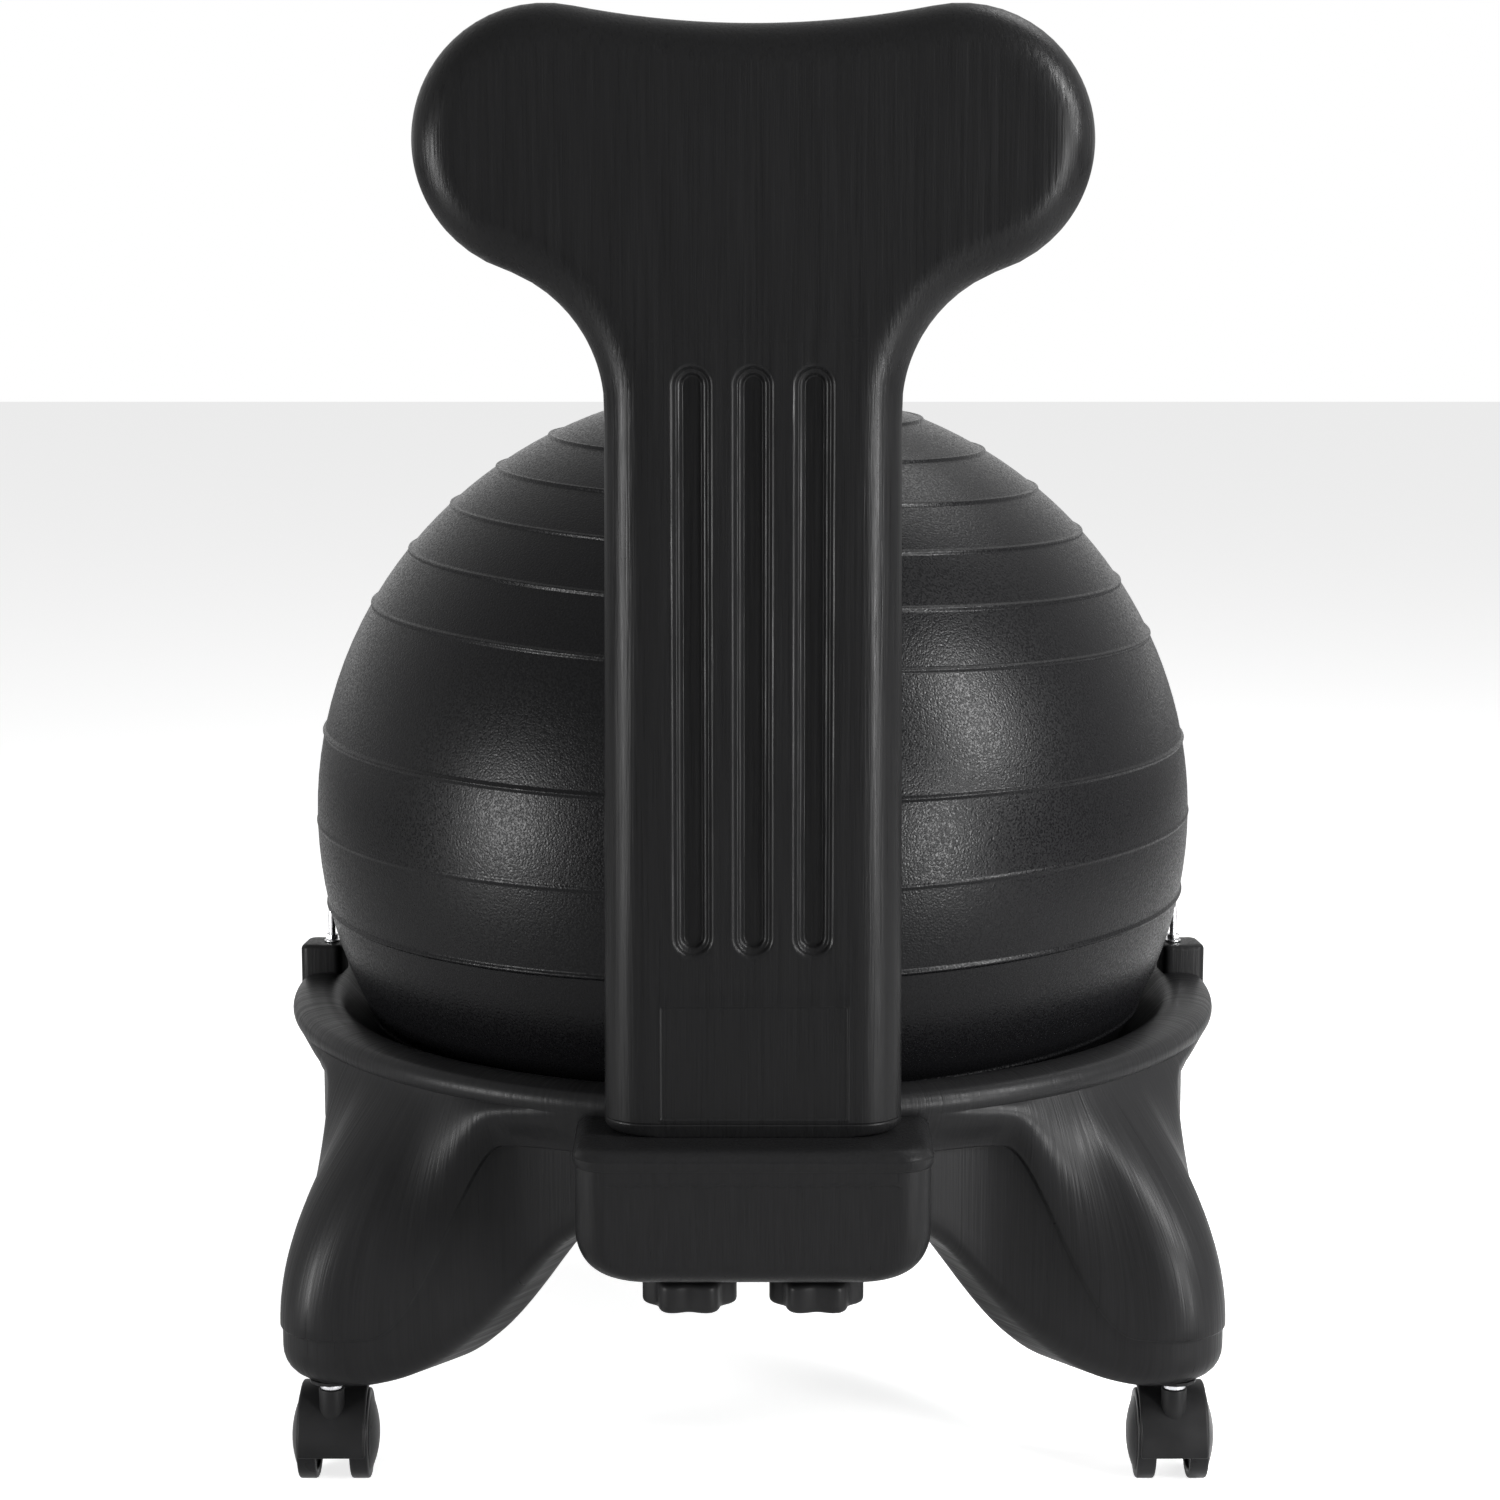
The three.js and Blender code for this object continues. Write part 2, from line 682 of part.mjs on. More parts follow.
function backrestShell() {
  const pad = slab(
    backrestOutline(),
    backrestRearY + backrestEdgeRound,
    backrestFrontY - backrestEdgeRound,
    {
      bevelEnabled: true,
      bevelSize: backrestEdgeRound,
      bevelOffset: -backrestEdgeRound,
      bevelThickness: backrestEdgeRound,
      bevelSegments: backrestEdgeSteps,
    },
  );
  const tenonTop = backrestBottomHeight + half(columnCornerRadius);
  const tenon = new THREE.BoxGeometry(
    tenonWidth,
    tenonThickness,
    tenonTop - tenonBottomHeight,
  ).translate(0, backrestMiddleY, half(tenonTop + tenonBottomHeight));
  const middleIndex = half(grooveCount - 1);
  const places = Array.from({ length: grooveCount }, (_, i) => (i - middleIndex) * groovePitch);
  const lips = places.map((x) =>
    slab(
      grooveOutline(x, grooveLipWidth),
      backrestRearY - grooveLipHeight,
      backrestRearY + grooveDepth,
    ),
  );
  const channels = places.map((x) =>
    slab(
      grooveOutline(x, grooveWidth),
      backrestRearY - grooveLipHeight - cutOverrun,
      backrestRearY + grooveDepth,
    ),
  );
  const insertHoles = sides.map(({ sign }) =>
    pin(
      insertDiameter + 2 * seatGap,
      tenonBottomHeight - cutOverrun,
      tenonBottomHeight + insertLength + seatGap,
    ).translate(sign * half(knobSpread), backrestMiddleY, 0),
  );
  return cut(joined(pad, tenon, ...lips), ...channels, ...insertHoles);
}

// Knobs: a lobed head under the box, its washer, and a stud that screws into the tenon's insert.
const knobWasherTop = boxBottomHeight - seatGap;
const knobTopHeight = knobWasherTop - knobWasherThickness - seatGap;
const knobBottomHeight = knobTopHeight - knobHeight;

function knobHead() {
  const count = knobLobes * knobLobeSteps;
  const outline = Array.from({ length: count }, (_, i) => {
    const angle = (i / count) * 2 * Math.PI;
    const dent = half(knobLobeDepth) * (1 - Math.cos(knobLobes * angle));
    const radius = half(knobDiameter) - dent - knobEdgeRound;
    return new THREE.Vector2(radius * Math.cos(angle), radius * Math.sin(angle));
  });
  const lobesHeight = knobHeight - knobHubHeight - 2 * knobEdgeRound;
  const lobes = new THREE.ExtrudeGeometry(new THREE.Shape(outline), {
    depth: lobesHeight,
    bevelEnabled: true,
    bevelSize: knobEdgeRound,
    bevelThickness: knobEdgeRound,
    bevelSegments: 1,
  }).translate(0, 0, knobBottomHeight + knobEdgeRound);
  const hub = pin(knobHubDiameter, knobBottomHeight + half(knobHeight), knobTopHeight);
  const socket = pin(
    studDiameter + 2 * seatGap,
    knobTopHeight - studRootLength - seatGap,
    knobTopHeight + cutOverrun,
  );
  return cut(joined(lobes, hub), socket);
}

const knobWasher = () =>
  ring(
    studDiameter + 2 * slidingGap,
    knobWasherDiameter,
    knobWasherTop - knobWasherThickness,
    knobWasherTop,
  );
const knobStud = () =>
  pin(studDiameter, knobTopHeight - studRootLength, tenonBottomHeight + studEngagement);
const backrestInsert = () =>
  ring(
    studDiameter + 2 * seatGap,
    insertDiameter,
    tenonBottomHeight + seatGap,
    tenonBottomHeight + insertLength,
  );

// Support bar: both ends stand in the lugs, and the hoop passes round the front of the ball.
function supportBar() {
  const bend = Array.from({ length: rodBendSteps + 1 }, (_, i) => {
    const turn = (i / rodBendSteps) * (Math.PI / 2);
    return {
      along: rodBendRadius * (1 - Math.cos(turn)),
      height: rodHoopHeight - rodBendRadius * (1 - Math.sin(turn)),
    };
  });
  const rising = [
    { along: 0, height: rodEndHeight },
    { along: 0, height: half(rodEndHeight + rodHoopHeight) },
    ...bend,
  ];
  const placed = ({ along, height }) => polar(rodRadius, lugAzimuth + along / rodRadius, height);
  const rightEnd = rising.map(placed);
  const leftEnd = rightEnd
    .map((point) => new THREE.Vector3(-point.x, point.y, point.z))
    .reverse();
  const hoopStart = lugAzimuth + rodBendRadius / rodRadius;
  const hoop = Array.from({ length: rodHoopSteps - 1 }, (_, i) =>
    polar(rodRadius, mix(hoopStart, Math.PI - hoopStart, (i + 1) / rodHoopSteps), rodHoopHeight),
  );
  const route = new THREE.CatmullRomCurve3([...rightEnd, ...hoop, ...leftEnd], false, "centripetal");
  const section = new THREE.Shape().absarc(0, 0, half(rodDiameter), 0, 2 * Math.PI, false);
  return new THREE.ExtrudeGeometry(section, {
    extrudePath: route,
    steps: rodRouteSteps,
    curveSegments: 3,
    bevelEnabled: false,
  });
}

function hexNut(bottom) {
  const corner = half(nutAcrossFlats) / Math.cos(Math.PI / 6);
  const outline = new THREE.Shape(
    Array.from({ length: 6 }, (_, i) => {
      const angle = (i * Math.PI) / 3;
      return new THREE.Vector2(corner * Math.cos(angle), corner * Math.sin(angle));
    }),
  );
  const bore = half(rodDiameter) + seatGap;
  outline.holes.push(new THREE.Path().absarc(0, 0, bore, 0, 2 * Math.PI, true));
  return new THREE.ExtrudeGeometry(outline, {
    depth: nutHeight,
    bevelEnabled: false,
    curveSegments: 6,
  }).translate(0, 0, bottom);
}

const barWasher = (bottom) =>
  ring(rodDiameter + 2 * seatGap, barWasherDiameter, bottom, bottom + barWasherThickness);

// Casters, drawn about the stem's axis: the wheels trail towards +Y.
const casterPlaces = ["rear", "front"].flatMap((end, i) =>
  sides.map(({ name, sign }) => ({
    name: `${end}_${name}`,
    x: sign * stemHalfSpanX,
    y: (i === 0 ? -1 : 1) * stemHalfSpanY,
    braked: end === "front",
  })),
);

const collarBottom = casterTopHeight + seatGap;
const flangeBottom = footHeight - seatGap - sleeveFlangeThickness;

function casterSleeve() {
  const bore = half(stemDiameter) + seatGap;
  const outer = half(sleeveDiameter);
  return turned(
    [
      [bore, flangeBottom],
      [half(sleeveFlangeDiameter), flangeBottom],
      [half(sleeveFlangeDiameter), flangeBottom + sleeveFlangeThickness],
      [outer, flangeBottom + sleeveFlangeThickness],
      [outer, sleeveTopHeight],
      [0, sleeveTopHeight],
      [0, stemTopHeight + seatGap],
      [bore, stemTopHeight + seatGap],
      [bore, flangeBottom],
    ],
    roundSides,
  );
}

function casterStem() {
  const shaft = half(stemDiameter);
  const grip = stemTopHeight - stemGripLength;
  const collarTop = Math.min(collarBottom + stemCollarThickness, flangeBottom - seatGap);
  return turned(
    [
      [0, casterTopHeight - stemHoldLength],
      [shaft, casterTopHeight - stemHoldLength],
      [shaft, collarBottom],
      [half(stemCollarDiameter), collarBottom],
      [half(stemCollarDiameter), collarTop],
      [shaft, collarTop],
      [shaft, grip - stemGripLength],
      [shaft - stemGripDepth, grip - half(stemGripLength)],
      [shaft, grip],
      [shaft, stemTopHeight - stemGripDepth],
      [shaft - stemGripDepth, stemTopHeight],
      [0, stemTopHeight],
    ],
    roundSides,
  );
}

// Angles on a caster start at the stem's side and rise over the wheels. The outline is drawn
// in Y and Z about the axle, and its depth runs along X.
const onCaster = (radius, degrees) => {
  const angle = THREE.MathUtils.degToRad(degrees);
  return new THREE.Vector2(-radius * Math.cos(angle), radius * Math.sin(angle));
};

function acrossCaster(shape, halfWidth, options = {}) {
  return new THREE.ExtrudeGeometry(shape, {
    depth: 2 * halfWidth,
    bevelEnabled: false,
    curveSegments: 8,
    ...options,
  })
    .rotateX(Math.PI / 2)
    .rotateZ(Math.PI / 2)
    .translate(-halfWidth, casterTrail, wheelRadius);
}

const hoodInner = wheelRadius + hoodWheelGap;
const hoodOuter = hoodInner + hoodWall;

function hoodOutline() {
  const steps = hoodSteps;
  const angles = Array.from({ length: steps + 1 }, (_, i) =>
    mix(hoodLowAngle, hoodHighAngle, i / steps),
  );
  const inner = angles.map((angle) => onCaster(hoodInner, angle));
  const outer = angles.map((angle) => onCaster(hoodOuter, angle)).reverse();
  return new THREE.Shape([...inner, ...outer]);
}

function webOutline() {
  const steps = hoodSteps;
  const shoulder = Array.from({ length: steps + 1 }, (_, i) =>
    onCaster(half(hoodInner + hoodOuter), mix(hoodLowAngle, hoodHighAngle, i / steps)),
  );
  const under = Array.from({ length: steps - 1 }, (_, i) =>
    onCaster(webRadius, mix(hoodHighAngle, 360 + hoodLowAngle, (i + 1) / steps)),
  );
  return new THREE.Shape([...shoulder, ...under]);
}

const leverHubDistance = hoodOuter + leverHubRadius + seatGap;
const leverHub = onCaster(leverHubDistance, leverHubAngle);

function circleShape(center, radius) {
  return new THREE.Shape().absarc(center.x, center.y, radius, 0, 2 * Math.PI, false);
}

function axleAlongX(diameter, halfLength, center) {
  return new THREE.CylinderGeometry(half(diameter), half(diameter), 2 * halfLength, roundSides)
    .rotateZ(Math.PI / 2)
    .translate(0, casterTrail + center.x, wheelRadius + center.y);
}

const axleCentre = new THREE.Vector2(0, 0);

function casterBody(braked) {
  const boss = pin(casterBossDiameter, casterTopHeight - casterBossLength, casterTopHeight);
  const parts = [
    acrossCaster(hoodOutline(), hoodHalfWidth),
    acrossCaster(webOutline(), webHalfThickness),
    boss,
  ];
  const cuts = [
    pin(
      stemDiameter + 2 * seatGap,
      casterTopHeight - stemHoldLength - seatGap,
      casterTopHeight + cutOverrun,
    ),
    axleAlongX(axleDiameter + 2 * seatGap, webHalfThickness + cutOverrun, axleCentre),
  ];
  if (braked) {
    const root = onCaster(webRadius, leverHubAngle);
    const reach = onCaster(leverHubDistance, leverHubAngle);
    const along = reach.clone().sub(root).normalize();
    const across = new THREE.Vector2(-along.y, along.x).multiplyScalar(leverHubRadius);
    const bar = [
      root.clone().add(across),
      root.clone().sub(across),
      reach.clone().sub(across),
      reach.clone().add(across),
    ];
    parts.push(
      acrossCaster(new THREE.Shape(bar), earHalfThickness),
      acrossCaster(circleShape(leverHub, leverHubRadius), earHalfThickness),
    );
    cuts.push(
      axleAlongX(leverPinDiameter + 2 * seatGap, earHalfThickness + cutOverrun, leverHub),
    );
  }
  return cut(joined(...parts), ...cuts);
}

function brakeLever() {
  const tilt = THREE.MathUtils.degToRad(leverArmAngle);
  const along = new THREE.Vector2(Math.cos(tilt), Math.sin(tilt));
  const up = new THREE.Vector2(-along.y, along.x);
  const at = (run, rise) =>
    leverHub.clone().addScaledVector(along, run).addScaledVector(up, rise);
  const top = leverHubRadius;
  const arm = new THREE.Shape([
    at(0, top - leverThickness),
    at(leverArm, top - half(leverThickness)),
    at(leverArm, top + half(leverThickness)),
    at(half(leverArm), top),
    at(0, top),
  ]);
  const body = joined(
    acrossCaster(circleShape(leverHub, leverHubRadius), leverHalfWidth),
    acrossCaster(arm, leverHalfWidth),
  );
  const slotReach = leverHubRadius + seatGap;
  return cut(
    body,
    acrossCaster(circleShape(leverHub, slotReach + seatGap), earHalfThickness + seatGap),
    axleAlongX(leverPinDiameter + 2 * seatGap, leverHalfWidth + cutOverrun, leverHub),
  );
}

const brakePin = () => axleAlongX(leverPinDiameter, leverHalfWidth, leverHub);

const wheelOuterOffset = wheelInnerOffset + wheelTreadWidth;
const axleHalfLength = wheelOuterOffset + wheelDome - axleCover;
const casterAxle = () => axleAlongX(axleDiameter, axleHalfLength, axleCentre);

// A wheel turned about its axle. Its tread is a polygon with a flat side on the floor.
function casterWheel(sign) {
  const tread = wheelRadius / Math.cos(Math.PI / wheelSides);
  const bore = half(axleDiameter) + seatGap;
  const outer = wheelOuterOffset;
  const profile = [
    [0, outer + wheelDome],
    [tread * wheelDomeShares[0], outer + wheelDome * wheelDomeShares[1]],
    [tread - 2 * wheelEdgeRound, outer + half(wheelEdgeRound)],
    [tread, outer - wheelEdgeRound],
    [tread, wheelInnerOffset + wheelEdgeRound],
    [tread - wheelEdgeRound, wheelInnerOffset],
    [bore, wheelInnerOffset],
    [bore, axleHalfLength + seatGap],
    [0, axleHalfLength + seatGap],
  ];
  return turned(profile, wheelSides)
    .rotateZ(Math.PI / wheelSides)
    .rotateY(sign * (Math.PI / 2))
    .translate(0, casterTrail, wheelRadius);
}

const chair = new THREE.Group();

function addPiece(parent, name, shape, finish, x = 0, y = 0) {
  const geometry = shape.isBufferGeometry ? geometryOf(solid(shape)) : geometryOf(shape);
  const mesh = new THREE.Mesh(geometry, finish());
  mesh.name = name;
  mesh.position.set(x, y, 0);
  parent.add(mesh);
}

function addFrame() {
  addPiece(chair, "base_shell", baseShell(), blownPlastic);
  addPiece(chair, "backrest_shell", backrestShell(), blownPlastic);
  addPiece(chair, "ball_shell", ballShell(), ballVinyl);
  addPiece(chair, "valve_plug", valvePlug(), mouldedPlastic);
}

function addKnobs() {
  for (const { name, sign } of sides) {
    const x = sign * half(knobSpread);
    const pieces = [
      [`backrest_insert_${name}`, backrestInsert(), turnedBrass],
      [`knob_${name}`, knobHead(), mouldedPlastic],
      [`knob_stud_${name}`, knobStud(), brightSteel],
      [`knob_washer_${name}`, knobWasher(), brightSteel],
    ];
    for (const [node, shape, finish] of pieces) {
      addPiece(chair, node, shape, finish, x, backrestMiddleY);
    }
  }
}

function addSupportBar() {
  addPiece(chair, "support_bar", supportBar(), brightSteel);
  const washerHeight = lugTopHeight + seatGap;
  const nutBottom = washerHeight + barWasherThickness + seatGap;
  for (const { name, sign } of sides) {
    const { x, y } = polar(rodRadius, lugDirection(sign));
    addPiece(chair, `bar_washer_${name}`, barWasher(washerHeight), brightSteel, x, y);
    addPiece(chair, `bar_nut_${name}`, hexNut(nutBottom), brightSteel, x, y);
  }
}

function addCasters() {
  for (const { name, x, y, braked } of casterPlaces) {
    const caster = new THREE.Group();
    caster.position.set(x, y, 0);
    chair.add(caster);
    addPiece(caster, `caster_sleeve_${name}`, casterSleeve(), mouldedPlastic);
    addPiece(caster, `caster_stem_${name}`, casterStem(), brightSteel);
    addPiece(caster, `caster_body_${name}`, casterBody(braked), mouldedPlastic);
    addPiece(caster, `caster_axle_${name}`, casterAxle(), brightSteel);
    addPiece(caster, `wheel_left_${name}`, casterWheel(-1), wheelNylon);
    addPiece(caster, `wheel_right_${name}`, casterWheel(1), wheelNylon);
    if (!braked) continue;
    addPiece(caster, `brake_lever_${name}`, brakeLever(), mouldedPlastic);
    addPiece(caster, `brake_pin_${name}`, brakePin(), brightSteel);
  }
}

addFrame();
addKnobs();
addSupportBar();
addCasters();

const outerBox = new THREE.Box3().setFromObject(chair);
chair.position.y = -half(outerBox.min.y + outerBox.max.y);

export default chair;
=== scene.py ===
"""Balance ball chair, seen from behind in a plain white studio.

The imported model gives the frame. Here its shells, ball, knobs, bar and casters get their fine
surfaces and finishes. Lengths are millimetres about the ball's upright axis unless a name ends
in _m, and each finished mesh is in metres in the chair's frame.
"""
import math

import bmesh
import bpy
import numpy as np
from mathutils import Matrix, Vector


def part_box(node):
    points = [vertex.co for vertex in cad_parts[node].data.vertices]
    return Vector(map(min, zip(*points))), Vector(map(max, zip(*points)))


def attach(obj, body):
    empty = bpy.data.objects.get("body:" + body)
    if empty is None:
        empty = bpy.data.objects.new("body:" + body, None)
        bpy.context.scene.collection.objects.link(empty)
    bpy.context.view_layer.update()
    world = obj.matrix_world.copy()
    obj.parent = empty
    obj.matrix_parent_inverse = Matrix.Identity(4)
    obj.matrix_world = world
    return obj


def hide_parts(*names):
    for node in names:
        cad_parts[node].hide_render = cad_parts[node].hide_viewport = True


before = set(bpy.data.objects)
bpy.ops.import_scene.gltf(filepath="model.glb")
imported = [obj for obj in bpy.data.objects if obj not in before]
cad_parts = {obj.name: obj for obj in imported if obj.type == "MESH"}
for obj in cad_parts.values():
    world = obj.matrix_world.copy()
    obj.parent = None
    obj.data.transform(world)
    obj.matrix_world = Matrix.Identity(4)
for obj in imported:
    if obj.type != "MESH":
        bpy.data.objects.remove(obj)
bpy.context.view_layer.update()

MM = 0.001
TURN = 2 * math.pi
ball_low, ball_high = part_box("ball_shell")
CHAIR_Y = (ball_low.y + ball_high.y) / 2 / MM

# Sizes shared by several pieces
GAP = 0.3
BALL_RADIUS, BALL_HALF_HEIGHT = 258.4, 249.9
BALL_CENTRE_Z = ball_high.z / MM - BALL_HALF_HEIGHT
SEAT_RADIUS, SEAT_Z = 189.5, 172.2
RIM_RADIUS, RIM_Z, RIM_ROLL = 275.0, 236.0, 8.0
BACK_FRONT_Y, BACK_REAR_Y = -266.0, -304.0
BACK_MIDDLE_Y = (BACK_FRONT_Y + BACK_REAR_Y) / 2
BOX_TOP_Z, BOX_BOTTOM_Z = 222.0, 148.5
STEM_X, STEM_Y = 232.0, 223.0
LEG_ANGLE = math.atan2(STEM_Y, STEM_X)
CASTER_TRAIL, WHEEL_RADIUS = 18.0, 25.0
LUG_ANGLE = math.radians(6.6)
KNOB_X = 33.6
SIDES = {"left": -1, "right": 1}
CORNERS = {f"{end}_{side}": (SIDES[side] * STEM_X, y * STEM_Y)
           for end, y in (("rear", -1), ("front", 1)) for side in SIDES}


def mix(start, end, share):
    """The value at a share of the way from start to end."""
    return start + (end - start) * share


def smooth(value, low, high):
    """0 below low, 1 above high, and 3t^2 - 2t^3 between them."""
    t = np.clip((value - low) / (high - low), 0, 1)
    return t * t * (3 - 2 * t)


def ridge(value, width):
    """A bump of height 1 at 0 that falls to 0 at width, as (1 - v^2)^2."""
    return np.clip(1 - (value / width) ** 2, 0, None) ** 2


def spans(*runs):
    """Joins runs of evenly spaced numbers, each given as start, end and count of steps."""
    parts = [np.linspace(start, end, count, endpoint=False) for start, end, count in runs]
    return np.concatenate(parts + [[runs[-1][1]]])


def arc(centre, radius, start, end, count):
    """Points on a circle or, with two radii, an ellipse, by angles in degrees."""
    angle = np.radians(np.linspace(start, end, count))
    rx, ry = radius if isinstance(radius, tuple) else (radius, radius)
    return np.stack([centre[0] + rx * np.cos(angle), centre[1] + ry * np.sin(angle)], -1)


def studio_mesh(name, points, quads, uv=None, sharp=50, merge=0.002):
    """A closed smooth mesh from millimetre points, with doubles merged and faces outwards."""
    mesh = bpy.data.meshes.new(name)
    points = np.asarray(points, float).reshape(-1, 3)
    placed = (points + [0, CHAIR_Y, 0]) * MM
    mesh.from_pydata(placed.tolist(), [], quads.tolist())
    if uv is not None:
        layer = mesh.uv_layers.new(name="along")
        corner = np.empty(len(mesh.loops), int)
        mesh.loops.foreach_get("vertex_index", corner)
        layer.data.foreach_set("uv", (uv.reshape(-1, 2)[corner] * MM).ravel())
    bm = bmesh.new()
    bm.from_mesh(mesh)
    bmesh.ops.remove_doubles(bm, verts=bm.verts, dist=merge * MM)
    bmesh.ops.recalc_face_normals(bm, faces=bm.faces)
    bm.to_mesh(mesh)
    bm.free()
    mesh.shade_smooth()
    mesh.set_sharp_from_angle(angle=math.radians(sharp))
    return mesh


def piece(name, mesh, body, finish, replaced=()):
    """Puts a mesh in the scene as a piece of the chair that rides on a body."""
    obj = bpy.data.objects.new(name, mesh)
    bpy.context.scene.collection.objects.link(obj)
    mesh.materials.append(finish)
    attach(obj, body)
    if replaced:
        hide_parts(*replaced)
    return obj


def together(name, *meshes):
    """One mesh from several, each of which stays a closed shell of its own."""
    bm = bmesh.new()
    for mesh in meshes:
        bm.from_mesh(mesh)
    joined = bpy.data.meshes.new(name)
    bm.to_mesh(joined)
    bm.free()
    return joined


def grid_quads(rows, columns):
    """The quads of a grid of points that are counted row by row."""
    i, j = np.meshgrid(np.arange(rows - 1), np.arange(columns - 1), indexing="ij")
    first = i * columns + j
    return np.stack([first, first + 1, first + columns + 1, first + columns], -1).reshape(-1, 4)


def sheet_mesh(name, points, uv=None, **options):
    """A mesh from a rows by columns grid whose seams are repeated points."""
    rows, columns = points.shape[:2]
    return studio_mesh(name, points, grid_quads(rows, columns), uv, **options)


def turned(name, profile, steps=48, centre=(0, 0), axis="z", **options):
    """A profile of (radius, height) points turned about an upright or sideways axis."""
    angle = np.linspace(0, TURN, steps + 1)
    radius, height = profile[:, None, 0], profile[:, None, 1]
    across, along = radius * np.cos(angle), radius * np.sin(angle)
    level = np.broadcast_to(height, across.shape)
    if axis == "z":
        points = np.stack([centre[0] + across, centre[1] + along, level], -1)
    else:
        points = np.stack([level, centre[0] + across, centre[1] + along], -1)
    return sheet_mesh(name, points, **options)


# Base: a ring with four legs, blown in one piece

LEG_REACH, FOOT_RADIUS, FOOT_Z, FOOT_PARTING_Z = 347.5, 34.0, 64.0, 94.0
FOOT_CENTRE = LEG_REACH - FOOT_RADIUS
FLANK_TURN = math.radians(60)
FLANK_START = math.atan2(FOOT_RADIUS * math.sin(FLANK_TURN), FOOT_CENTRE + FOOT_RADIUS * math.cos(FLANK_TURN))
FLANK, SOLE_RISE = np.radians([(6, 15.5), (4.5, 26)])
RING_WALL, RING_BOTTOM_Z, RING_PARTING_Z = 257.0, 150.0, 198.0
LEG_ROOT_Z, LEG_FULLNESS = 101.0, 0.5


def falls(angle, inner, outer):
    """1 within the inner angle, 0 beyond the outer one, smooth between."""
    return 1 - smooth(np.abs(angle), inner, outer)


def parting_radius(offset):
    """The parting line's radius: the round foot's circle r cos(o) + sqrt(R^2 - (r sin o)^2), then
    the straight flank d / cos(turn - o), joined to the ring by the smooth maximum
    a + s log(1 + e^((b - a)/s))."""
    away = np.abs(offset)
    ring = RING_WALL + 4
    chord = np.clip(FOOT_RADIUS**2 - (FOOT_CENTRE * np.sin(away)) ** 2, 0, None)
    circle = FOOT_CENTRE * np.cos(away) + np.sqrt(chord)
    flank = (FOOT_CENTRE * math.cos(FLANK_TURN) + FOOT_RADIUS) / np.cos(FLANK_TURN - away)
    return ring + 6 * np.log1p(np.exp((np.where(away < FLANK_START, circle, flank) - ring) / 6))


def ball_radius_at(z):
    """The ball's radius at a height: R sqrt(1 - ((z - zc) / h)^2)."""
    return BALL_RADIUS * np.sqrt(np.clip(1 - ((z - BALL_CENTRE_Z) / BALL_HALF_HEIGHT) ** 2, 0, 1))


def bezier(points, shares):
    """Cubic Bezier through four (n, 2) control points at each share, as an (n, shares, 2) grid."""
    t = shares[None, :, None]
    weights = [(1 - t) ** 3, 3 * (1 - t) ** 2 * t, 3 * (1 - t) * t**2, t**3]
    return sum(w * p[:, None, :] for w, p in zip(weights, points))


